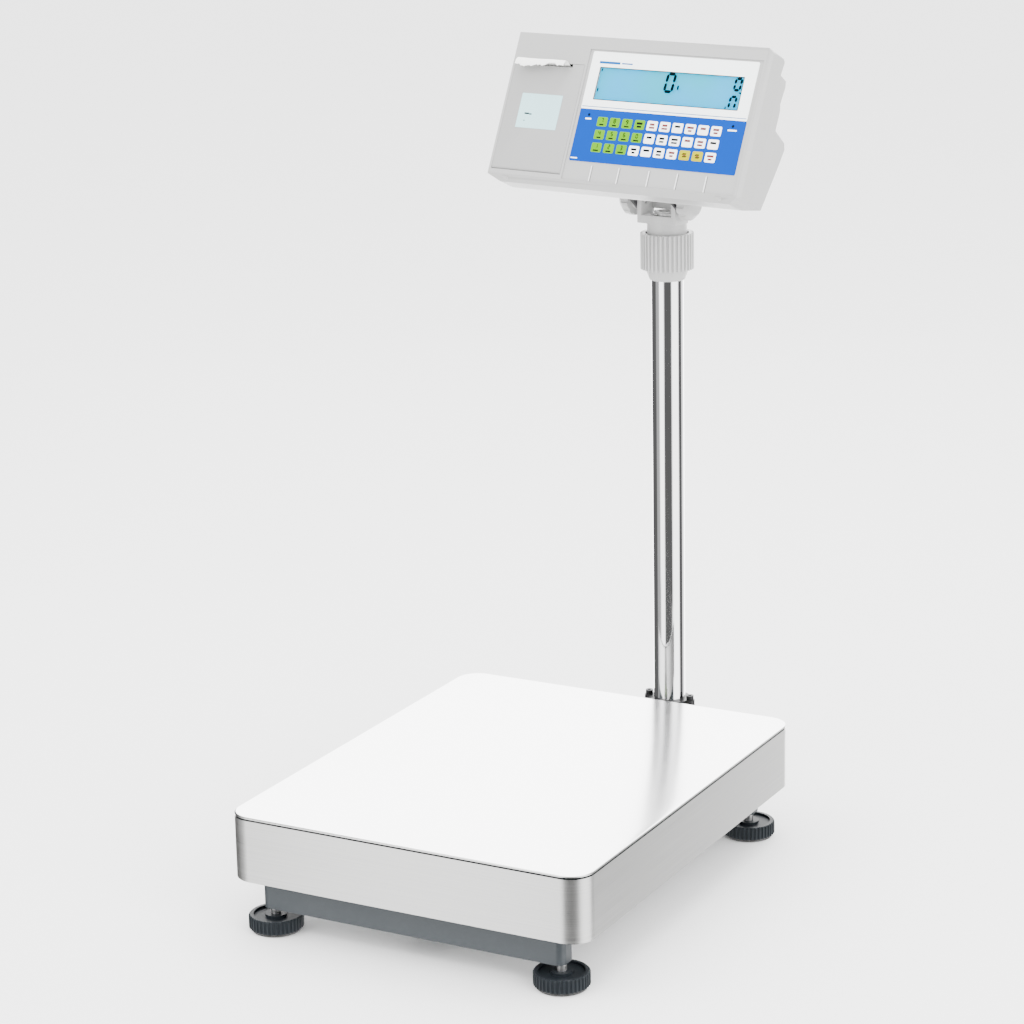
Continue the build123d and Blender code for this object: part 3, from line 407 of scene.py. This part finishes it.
# ---------------------------------------------------------------------------------------------
# Materials
# ---------------------------------------------------------------------------------------------
GREY = (0.275, 0.275, 0.272)
M = {
    "slate": coated("slate_coat", (0.026, 0.031, 0.035)),
    "case": moulded("case_plastic", GREY, 0.40, Specular_IOR_Level=0.35),
    "fitting": moulded("fitting_plastic", (0.33, 0.33, 0.327), 0.42, Specular_IOR_Level=0.35),
    "knob": moulded("knob_plastic", (0.32, 0.32, 0.317), 0.40, Specular_IOR_Level=0.35),
    "foot": moulded("foot_nylon", (0.009, 0.012, 0.015), 0.5, grain=1800, depth=0.00006, vary=0.15,
                    Specular_IOR_Level=0.15),
    "black": moulded("black_plastic", (0.02, 0.02, 0.022), 0.35, vary=0.1),
    "casting": coated("black_casting", (0.012, 0.012, 0.013), 0.3, peel=700),
    "rubber": rubbery("black_rubber"),
    "zinc": plated("zinc_plate"),
    "black_screw": plated("black_oxide", (0.03, 0.03, 0.032), 0.35),
    "upper": coated("zinc_frame", (0.14, 0.147, 0.153), 0.42),
    "aluminium": brushed("milled_aluminium", (0.70, 0.71, 0.72), 0.32, (500, 8, 8)),
    "chrome": chromed("polished_tube"),
    "paper": papery("thermal_paper"),
    "clear": clear("clear_window"),
    "lcd": display_glow("display_glow"),
    "board": board_green("circuit_board"),
    "blue": printed("overlay_blue_ink", (0.0, 0.040, 0.27), gloss=0.0),
    "white": printed("overlay_white_ink", (0.93, 0.97, 0.97)),
    "key_white": printed("key_white_ink", (0.95, 0.97, 0.97)),
    "key_green": printed("key_green_ink", (0.09, 0.27, 0.0), gloss=0.03),
    "key_yellow": printed("key_yellow_ink", (0.36, 0.32, 0.0), gloss=0.03),
    "mark_dark": printed("dark_ink_and_groove_shade", (0.004, 0.005, 0.006), gloss=0.05),
    # dark ink for print, also used as painted shade inside the pan's groove
    "mark_red": printed("mark_red_ink", (0.12, 0.02, 0.02)),
    "mark_blue": printed("mark_blue_ink", (0.0, 0.08, 0.28), gloss=0.04),
    "digit": printed("display_digit", (0.0, 0.004, 0.006), gloss=0.03),
    "sticker": printed("pale_sticker", (0.40, 0.63, 0.66), 0.35),
    # pale ribs: painted highlight on real raised ribs; dark strips beside them: painted shadow
    "rib": moulded("rib_painted_highlight", (0.60, 0.60, 0.60), 0.36),
    "rib_shadow": moulded("painted_rib_shadow", (0.10, 0.10, 0.10), 0.5),
    "vial": printed("level_fluid", (0.35, 0.65, 0.10), 0.12),
}


def steel_pan():
    """Stainless pan: a softly reflecting top and a skirt brushed level; the top's colour is painted brighter
    and the skirt's darker by which way each faces, as painted light and shade.
    """
    s = Shader("pan_stainless", (0.62, 0.62, 0.61), 0.3, 1.0, Anisotropic=0.4)
    skirt = s.noise(1.0, (5, 5, 1100), detail=6, rough=0.75)
    cross = s.noise(1.0, (900, 6, 6), detail=5, rough=0.7)
    # colour picked by the normal: painted light on the upward-facing top, painted shade on the skirt
    geo = s.node("ShaderNodeNewGeometry")
    sep = s.node("ShaderNodeSeparateXYZ")
    s.link(geo.outputs["Normal"], sep.inputs[0])
    up = s.ramp(sep.outputs["Z"], 0.5, 0.9)
    side = s.mix(s.ramp(skirt, 0.3, 0.7), (0.40, 0.40, 0.395), (0.54, 0.54, 0.53))
    top = s.mix(s.ramp(cross, 0.3, 0.7), (0.86, 0.86, 0.86), (0.92, 0.92, 0.92))
    s.link(s.mix(up, side, top), s.bsdf.inputs["Base Color"])
    lines = s.node("ShaderNodeMix", data_type="FLOAT")
    s.link(up, lines.inputs[0])
    s.link(skirt, lines.inputs[2])
    s.link(cross, lines.inputs[3])
    rough = s.node("ShaderNodeMix", data_type="FLOAT")
    s.link(up, rough.inputs[0])
    s.link(s.ramp(skirt, 0.3, 0.7, 0.26, 0.38), rough.inputs[2])
    s.link(s.ramp(cross, 0.3, 0.7, 0.14, 0.20), rough.inputs[3])
    s.link(rough.outputs[0], s.bsdf.inputs["Roughness"])
    s.bump(lines.outputs[0], 0.00002, 0.5)
    return s.mat


M["pan"] = steel_pan()

CAD_FINISH = {
    "slate": (("base_frame", 0.0008), ("pillar_bracket", 0.0008)),
    "casting": (("pillar_socket", 0.0006),),
    "black_screw": (("socket_screws", 0.0003),),
    "chrome": (("pillar_tube", 0.0),),
    "aluminium": (("load_cell", 0.0005), ("print_head", 0.0)),
    "upper": (("upper_frame", 0.0006),),
    "zinc": (("lower_cell_plate", 0.0), ("upper_cell_plate", 0.0), ("lower_cell_bolts", 0.0003),
             ("upper_cell_bolts", 0.0003), ("bracket_bolts", 0.0003), ("overload_stops", 0.0003),
             ("stem_ring", 0.0), ("case_screws", 0.0003), ("shell_screws", 0.0), ("left_knob_stud", 0.0),
             ("right_knob_stud", 0.0), ("lid_hinge_pin", 0.0), ("front_left_foot_stud", 0.0003),
             ("front_right_foot_stud", 0.0003), ("rear_left_foot_stud", 0.0003),
             ("rear_right_foot_stud", 0.0003), ("serial_port", 0.0)),
    "foot": (("front_left_foot_disc", 0.0004), ("front_right_foot_disc", 0.0004),
             ("rear_left_foot_disc", 0.0004), ("rear_right_foot_disc", 0.0004)),
    "rubber": (("foot_pads", 0.0), ("pan_buffers", 0.0004), ("platen_roller", 0.0)),
    "case": (("front_shell", 0.0009), ("rear_shell", 0.0009), ("printer_lid", 0.0003)),
    "fitting": (("lock_collar", 0.0004), ("swivel_yoke", 0.0006), ("head_stem", 0.0)),
    "knob": (("left_tilt_knob", 0.0005), ("right_tilt_knob", 0.0005)),
    "black": (("cable_gland", 0.0004), ("level_body", 0.0004), ("power_inlet", 0.0004),
              ("power_rocker", 0.0004), ("printer_chassis", 0.0), ("cell_socket", 0.0003),
              ("battery", 0.0008), ("tilt_bracket", 0.0004)),
    "clear": (("display_window", 0.0),),
    "lcd": (("lcd_panel", 0.0),),
    "board": (("main_board", 0.0),),
    "paper": (("paper_roll", 0.0004),),
    "vial": (("level_vial", 0.0),),
    "sticker": (("label_sticker", 0.0),),
}
for key, nodes in CAD_FINISH.items():
    for node, bevel in nodes:
        finish_cad(node, M[key], bevel)


# ---------------------------------------------------------------------------------------------
# Pan
# ---------------------------------------------------------------------------------------------
def make_pan():
    """Folded pan with a shallow groove round the top of its skirt, lined with a dark sheet as painted shade.
    """
    lo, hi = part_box("pan")
    corner, bend, sheet, groove, groove_z, groove_h = 0.025, 0.003, 0.0015, 0.0010, 0.0017, 0.0018

    def loop(inset, z):
        pts = rounded_rect(lo.x + inset, hi.x - inset, lo.y + inset, hi.y - inset, corner - inset, 12)
        return [(x, y, z) for x, y in pts]
    top = hi.z
    profile = [(sheet, lo.z + 0.0004), (sheet - 0.0004, lo.z), (0.0004, lo.z), (0.0, lo.z + 0.0004)]
    profile += [(0.0, top - groove_z - groove_h - bend * 0.3), (0.0, top - groove_z - groove_h)]
    profile += [(groove, top - groove_z - groove_h + 0.0001), (groove, top - groove_z - 0.0001)]
    round_r = groove_z
    for k in range(7):
        a = math.radians(15 * k)
        profile.append((round_r * (1 - math.cos(a)), top - round_r * (1 - math.sin(a))))
    loops = [loop(i, z) for i, z in profile]
    inner = [loop(i, z) for i, z in ((sheet, top - sheet), (sheet, lo.z + 0.0004))]
    outer = stack(loops, cap_start=False, cap_end=True)
    inside = stack(inner, cap_start=True, cap_end=False)
    obj = piece("pan_shell", *many([outer, inside]), M["pan"], "pan", smooth=40, slot="stainless")
    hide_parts("pan")
    # a dark sheet inside the groove: painted shade
    dark = [loop(groove - 0.0001, z) for z in (top - groove_z - groove_h, top - groove_z)]
    piece("pan_groove_painted_shade", *stack(dark, False, False), M["mark_dark"], "pan", slot="stainless")


make_pan()


# ---------------------------------------------------------------------------------------------
# Indicator face, in case axes (mm)
# ---------------------------------------------------------------------------------------------
SHEET_BACK, SHEET_FRONT = 1.18, 0.62
FACE_X0, FACE_X1, FACE_LOW, FACE_TOP, BLUE_TOP = -57.6, 153.0, -57.4, 64.0, 0.5
LCD = (-45.0, 139.0, 10.8, 47.3)
KEY_X0, KEY_PITCH_X, KEY_COLS = -26.0, 16.1, 10          # middle of the first key
KEY_Z0, KEY_PITCH_Z, KEY_ROWS = -12.7, 14.2, 3
KEY_W, KEY_H, KEY_RISE = 13.0, 10.6, 0.42
GREEN_COLS = (4, 4, 3)
YELLOW_KEYS = ((2, 7), (2, 8))
CELL_LINES, RIB_LOW, RIB_TOP = (-26.0, 9.5, 48.0, 84.0, 120.0), -78.4, -61.2
LID_X0, LID_X1, LID_TOP = -157.0, -65.0, 47.6


def framed(x0, x1, z0, z1, hole, y_back, y_front, r=1.5):
    """A flat sheet with a rectangular opening."""
    outer = rounded_rect(x0, x1, z0, z1, r, 3)
    inner = rounded_rect(*hole, 0.8, 3)
    loops = [[(x, y, z) for x, z in pts] for y, pts in
             ((y_back, outer), (y_front, outer), (y_front, inner), (y_back, inner))]
    return stack(loops + [loops[0]], False, False)


def make_overlay():
    sheet = framed(FACE_X0, FACE_X1, BLUE_TOP, FACE_TOP, LCD, SHEET_BACK, SHEET_FRONT)
    white = piece("overlay_white", *sheet, M["white"], "indicator", CASE, slot="overlay")
    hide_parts("keypad_overlay")
    piece("overlay_blue", *plate(FACE_X0, FACE_X1, FACE_LOW, BLUE_TOP - 0.2, SHEET_BACK, SHEET_FRONT, 1.5),
          M["blue"], "indicator", CASE, slot="overlay")
    y = SHEET_FRONT - 0.04
    line = plate(FACE_X0 + 1, FACE_X1 - 1, BLUE_TOP + 2.2, BLUE_TOP + 3.0, SHEET_FRONT, y, 0.3)
    piece("overlay_line", *line, M["mark_blue"], "indicator", CASE, slot="overlay")
    stripe = [plate(-47, -20, 50.9, 53.6, SHEET_FRONT, y, 0.6),
              plate(-18, -4, 51.5, 53.0, SHEET_FRONT, y, 0.6)]
    piece("overlay_stripe", *many(stripe), M["mark_blue"], "indicator", CASE, slot="overlay")


def key_places():
    for row in range(KEY_ROWS):
        for col in range(KEY_COLS):
            yield row, col, KEY_X0 + col * KEY_PITCH_X, KEY_Z0 - row * KEY_PITCH_Z


def key_color(row, col):
    if col < GREEN_COLS[row]:
        return "key_green"
    return "key_yellow" if (row, col) in YELLOW_KEYS else "key_white"


def make_keys():
    """Raised key zones of the membrane, one piece for each ink."""
    keys = {}
    for row, col, x, z in key_places():
        left, right, low, high = x - KEY_W / 2, x + KEY_W / 2, z - KEY_H / 2, z + KEY_H / 2
        key = plate(left, right, low, high, SHEET_FRONT, SHEET_FRONT - KEY_RISE, 1.6, edge=0.25, steps=4)
        keys.setdefault(key_color(row, col), []).append(key)
    for ink, parts in keys.items():
        piece(ink, *many(parts), M[ink], "indicator", CASE, smooth=50, slot="overlay")


def seven_segment(code, x, z, w, h, t, slant=0.06):
    """Segments of a display digit as flat six-sided bars; x, z is its lower left corner."""
    gap, half = t * 0.08, t / 2
    bars = {"a": (0, h, w, h), "g": (0, h / 2, w, h / 2), "d": (0, 0, w, 0), "f": (0, h / 2, 0, h),
            "b": (w, h / 2, w, h), "e": (0, 0, 0, h / 2), "c": (w, 0, w, h / 2)}
    shapes = []
    for seg in code:
        ax, az, bx, bz = bars[seg]
        dx, dz = (1, 0) if ax != bx else (0, 1)
        px, pz = -dz, dx
        a, b = (ax + dx * gap, az + dz * gap), (bx - dx * gap, bz - dz * gap)
        pts = [a, (a[0] + dx * half + px * half, a[1] + dz * half + pz * half),
               (b[0] - dx * half + px * half, b[1] - dz * half + pz * half), b,
               (b[0] - dx * half - px * half, b[1] - dz * half - pz * half),
               (a[0] + dx * half - px * half, a[1] + dz * half - pz * half)]
        shapes.append([(x + p + q * slant, z + q) for p, q in pts])
    return shapes


def flat(shapes, y_back, y_front):
    """Thin solid printed shapes from outlines."""
    return many([stack([[(x, y_back, z) for x, z in s], [(x, y_front, z) for x, z in s]]) for s in shapes])


SEGMENTS = {"0": "abcdef", "1": "bc", "2": "abged", "3": "abgcd", "4": "fgbc", "5": "afgcd", "6": "afgedc",
            "7": "abc", "8": "abcdefg", "9": "abcdfg"}


def bar(x, z, w, h):
    return [(x - w / 2, z - h / 2), (x + w / 2, z - h / 2), (x + w / 2, z + h / 2), (x - w / 2, z + h / 2)]


def make_key_marks():
    """Plain numbers on the number keys and small bars on the others."""
    rng = random.Random(7)
    dark, red = [], []
    numbers = {(0, 0): "7", (0, 1): "8", (0, 2): "9", (1, 0): "4", (1, 1): "5", (1, 2): "6", (2, 0): "1",
               (2, 1): "2", (2, 2): "3", (1, 3): "0"}
    for row, col, x, z in key_places():
        if (row, col) in numbers:
            dark += seven_segment(SEGMENTS[numbers[row, col]], x - 1.1, z - 0.4, 2.2, 4.2, 1.0, 0.0)
            dark.append(bar(x + rng.uniform(-0.4, 0.4), z - 3.2, rng.uniform(5.0, 7.5), 1.5))
        elif key_color(row, col) == "key_yellow":
            for side in (-1, 1):
                dark.append([(x + side * u, z + side * v) for u, v in
                             ((-3.4, 0.5), (-2.0, 2.2), (2.2, 2.2), (2.2, 0.9), (-1.2, 0.9), (-2.0, 0.5))])
            red.append(bar(x, z, 3.4, 1.2))
        else:
            ink = red if rng.random() < 0.3 and col >= GREEN_COLS[row] else dark
            ink.append(bar(x, z + 1.4, rng.uniform(5.5, 9.0), 2.4))
            if rng.random() < 0.7:
                ink.append(bar(x, z - 2.1, rng.uniform(4.0, 7.5), 2.0))
    y = SHEET_FRONT - KEY_RISE
    piece("key_marks", *flat(dark, y, y - 0.03), M["mark_dark"], "indicator", CASE, slot="overlay")
    piece("key_marks_red", *flat(red, y, y - 0.03), M["mark_red"], "indicator", CASE, slot="overlay")


def make_panel_marks():
    """Indicator lamps and their small bars on the blue panel."""
    y = SHEET_FRONT
    sides, lamp_r, lamp_z = 20, 1.5, -6
    turns = [2 * math.pi * i / sides for i in range(sides)]
    lamps = []
    for x in (-45.0, 138.0):
        lamps.append([(x + lamp_r * math.cos(a), lamp_z + lamp_r * math.sin(a)) for a in turns])
    piece("panel_lamps", *flat(lamps, y, y - 0.05), M["mark_dark"], "indicator", CASE, slot="overlay")
    bars = [bar(-45, -10.4, 7.5, 1.6), bar(138, -10.4, 11, 1.6), bar(-52, -54.3, 8.5, 1.2)]
    piece("panel_bars", *flat(bars, y, y - 0.04), M["white"], "indicator", CASE, slot="overlay")


def make_display():
    """Figures on the display's window: a large nought, a small unit mark and two counters at the right."""
    y = 0.69
    shapes = seven_segment(SEGMENTS["0"], 43.0, 25.6, 9.2, 19.2, 3.3)
    shapes += seven_segment(SEGMENTS["0"], 128.5, 32.6, 7.0, 12.4, 3.0)
    shapes += seven_segment("abcef", 126.6, 13.0, 7.0, 12.4, 3.0)
    shapes += [bar(59.5, 30.5, 2.0, 5.0), bar(-41.5, 44.0, 1.4, 3.0), bar(-41.5, 22.0, 1.4, 4.0),
               bar(123.0, 13.0, 1.4, 3.0), bar(137.0, 29.8, 2.6, 1.4)]
    piece("display_figures", *flat(shapes, y, y - 0.04), M["digit"], "indicator", CASE, slot="lcd")
    x0, x1, z0, z1 = LCD
    hole = (x0 + 0.9, x1 - 0.9, z0 + 0.9, z1 - 0.9)
    piece("display_border", *framed(x0 - 1, x1 + 1, z0 - 1, z1 + 1, hole, y, y - 0.03, 0.6), M["digit"],
          "indicator", CASE, slot="lcd")


def make_case_trim():
    """Raised ribs between the function cells, coloured lighter as a painted highlight, with a dark strip
    beside each as a painted shadow, and the reveal round the lid.
    """
    ribs, shadows = [], []
    for x in CELL_LINES:
        # a real raised rib coloured pale as a painted highlight, and a dark strip beside it as a painted
        # shadow
        ribs.append(plate(x - 0.8, x + 0.5, RIB_LOW, RIB_TOP, 1.3, 0.35, 0.3, steps=2))
        shadows.append(plate(x + 0.5, x + 1.2, RIB_LOW, RIB_TOP, 1.3, 1.1, 0.2, steps=2))
    piece("cell_ribs", *many(ribs), M["rib"], "indicator", CASE, slot="grey_plastic")
    piece("cell_rib_shadows", *many(shadows), M["rib_shadow"], "indicator", CASE, slot="grey_plastic")
    gap, y_back, y_front = 0.4, 2.4, 0.4
    reveal = [plate(LID_X0 - gap, LID_X0 - 0.05, -66.0, LID_TOP, y_back, y_front, 0.1, steps=2),
              plate(LID_X1 + 0.05, LID_X1 + gap, -66.0, LID_TOP, y_back, y_front, 0.1, steps=2)]
    piece("lid_reveal", *many(reveal), M["case"], "indicator", CASE, slot="grey_plastic")


make_overlay()
make_case_trim()
make_keys()
make_key_marks()
make_panel_marks()
make_display()


# ---------------------------------------------------------------------------------------------
# Paper
# ---------------------------------------------------------------------------------------------
def make_paper():
    """The torn end of the paper, curling forwards out of its slot."""
    rng = random.Random(3)
    path = [(14.3, 36), (14.3, 40), (13.0, 43.4), (9.0, 45.5), (3.0, 46.2), (-1.0, 47.4), (-4.5, 49.0),
            (-7.6, 49.0), (-9.6, 47.0), (-10.6, 44.0), (-11.0, 41.0), (-11.0, 38.6)]
    cols, x0, x1, thick = 44, -149.8, -85.2, 0.12
    tear = []
    value = 0.5
    for i in range(cols + 1):
        value = min(1.0, max(0.0, value + rng.uniform(-0.22, 0.22)))
        tear.append(value)
    verts, faces = [], []
    for side in (0, 1):
        for i in range(cols + 1):
            x = x0 + (x1 - x0) * i / cols
            reach = len(path) - 1 - 2.2 * tear[i]
            for k in range(len(path)):
                t = min(k, reach)
                a, b = path[int(t)], path[min(int(t) + 1, len(path) - 1)]
                f = t - int(t)
                wave = 0.35 * math.sin(x * 0.12 + 1.0) * max(0, k - 5) / 4
                y, z = a[0] + (b[0] - a[0]) * f, a[1] + (b[1] - a[1]) * f + wave
                verts.append((x, y - side * thick * (1 if k > 5 else 0.6), z + side * thick))
    n, m = len(path), (cols + 1) * len(path)
    for side in (0, 1):
        for i in range(cols):
            for k in range(n - 1):
                q = [side * m + i * n + k, side * m + (i + 1) * n + k, side * m + (i + 1) * n + k + 1,
                     side * m + i * n + k + 1]
                faces.append(tuple(q if side else q[::-1]))
    for i in range(cols):
        for k, flip in ((0, False), (n - 1, True)):
            q = [i * n + k, (i + 1) * n + k, m + (i + 1) * n + k, m + i * n + k]
            faces.append(tuple(q[::-1] if flip else q))
    for i in (0, cols):
        for k in range(n - 1):
            faces.append((i * n + k, i * n + k + 1, m + i * n + k + 1, m + i * n + k))
    strip = piece("paper_end", verts, faces, M["paper"], "printer_lid", CASE, smooth=60, slot="paper")
    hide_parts("paper_strip")


def make_label_marks():
    y = -0.2
    marks = [bar(-126.5, -10.5, 6, 1.8), bar(-121.5, -11.0, 3.4, 1.4), bar(-128, -18.5, 1.6, 1.0)]
    piece("label_marks", *flat(marks, y, y - 0.04), M["mark_dark"], "printer_lid", CASE, slot="sticker")


make_paper()
make_label_marks()


# ---------------------------------------------------------------------------------------------
# Stage: floor, a ring of soft panels that only reflections see, lights, camera
# ---------------------------------------------------------------------------------------------
def make_floor():
    s = Shader("floor_pale", (0.93, 0.93, 0.93), 0.9)
    s.link(s.tint(s.noise(3.0), 0.01), s.bsdf.inputs["Base Color"])
    mesh = bpy.data.meshes.new("floor")
    r, z = 12.0, -0.0002
    mesh.from_pydata([(-r, -r, z), (r, -r, z), (r, r, z), (-r, r, z)], [], [(0, 1, 2, 3)])
    mesh.materials.append(s.mat)
    floor = bpy.data.objects.new("floor", mesh)
    bpy.context.scene.collection.objects.link(floor)
    floor.visible_glossy = False


# soft panels that stand round the pillar, for the polished parts to reflect: the compass angle of each middle
# from straight ahead (+ to the right), half the angle it covers, and its brightness
SOFTBOXES = {
    "back": (-160, 30, 9.0),
    "left_strip": (-20, 10, 5.0),
    "right_side": (80, 20, 5.0),
    "rear_fill": (155, 10, 2.5),
    "left_fill": (-50, 10, 0.7),
}
BETWEEN_BOXES, BOX_EDGE = 0.15, 12.0        # brightness between the panels; angle over which a panel fades


def panel_tone(turn):
    """Brightness of the surroundings at a compass angle."""
    tone = BETWEEN_BOXES
    for middle, half, bright in SOFTBOXES.values():
        away = abs((turn - middle + 180) % 360 - 180)
        fade = min(1.0, max(0.0, (half + BOX_EDGE - away) / BOX_EDGE))
        tone = max(tone, bright * fade * fade * (3 - 2 * fade))
    return tone


def make_softboxes():
    """Soft panels in a ring round the object. Only reflections see them."""
    radius, low, high, n = 2.4, -1.2, 4.5, 180
    mesh = bpy.data.meshes.new("softboxes")
    angles = [-180 + 360 * i / n for i in range(n)]
    ring = [(radius * math.sin(math.radians(a)), -radius * math.cos(math.radians(a))) for a in angles]
    verts = [(x + PILLAR.x, y + PILLAR.y, z) for z in (low, high) for x, y in ring]
    mesh.from_pydata(verts, [], [(i, (i + 1) % n, n + (i + 1) % n, n + i) for i in range(n)])
    tone = mesh.attributes.new("tone", "FLOAT", "POINT")
    for i, turn in enumerate(angles * 2):
        tone.data[i].value = panel_tone(turn)
    mat = bpy.data.materials.new("softboxes")
    mat.use_nodes = True
    tree = mat.node_tree
    tree.nodes.clear()
    out, em = tree.nodes.new("ShaderNodeOutputMaterial"), tree.nodes.new("ShaderNodeEmission")
    at = tree.nodes.new("ShaderNodeAttribute")
    at.attribute_name = "tone"
    tree.links.new(at.outputs["Fac"], em.inputs["Strength"])
    tree.links.new(em.outputs[0], out.inputs["Surface"])
    mesh.materials.append(mat)
    wall = bpy.data.objects.new("softboxes", mesh)
    bpy.context.scene.collection.objects.link(wall)
    for ray in ("camera", "diffuse", "shadow", "transmission"):
        setattr(wall, "visible_" + ray, False)


def make_world():
    world = bpy.data.worlds.new("studio")
    world.use_nodes = True
    bg = world.node_tree.nodes["Background"]
    bg.inputs["Color"].default_value = (1, 1, 1, 1)
    bg.inputs["Strength"].default_value = 3.6
    bpy.context.scene.world = world


def area_light(name, place, target, size, power):
    data = bpy.data.lights.new(name, "AREA")
    data.shape, data.size, data.energy = "DISK", size, power
    lamp = bpy.data.objects.new(name, data)
    lamp.location = place
    lamp.rotation_mode = "QUATERNION"
    lamp.rotation_quaternion = (Vector(target) - Vector(place)).to_track_quat("-Z", "Y")
    bpy.context.scene.collection.objects.link(lamp)


def make_camera():
    a, e, r = (math.radians(v) for v in (CAM_AZIMUTH, CAM_ELEVATION, CAM_ROLL))
    back = Vector((math.sin(a) * math.cos(e), -math.cos(a) * math.cos(e), math.sin(e)))
    right = Vector((math.cos(a), math.sin(a), 0))
    up = back.cross(right)
    x_dir, y_dir = math.cos(r) * right + math.sin(r) * up, -math.sin(r) * right + math.cos(r) * up
    data = bpy.data.cameras.new("camera")
    data.lens, data.sensor_width = CAM_LENS, 36.0
    data.clip_start, data.clip_end = 0.05, 60.0
    cam = bpy.data.objects.new("camera", data)
    bpy.context.scene.collection.objects.link(cam)
    cam.matrix_world = Matrix.Translation(CAM_PLACE) @ Matrix((x_dir, y_dir, back)).transposed().to_4x4()
    bpy.context.scene.camera = cam


make_camera()
make_floor()
make_softboxes()
make_world()
centre = (CAD_BOX[0] + CAD_BOX[1]) / 2
area_light("key", centre + Vector((-1.6, -1.8, 2.6)), centre, 2.2, 60)
area_light("fill", centre + Vector((2.6, -1.2, 1.4)), centre, 2.0, 80)
area_light("top", centre + Vector((0.2, 0.6, 2.6)), centre, 2.4, 80)
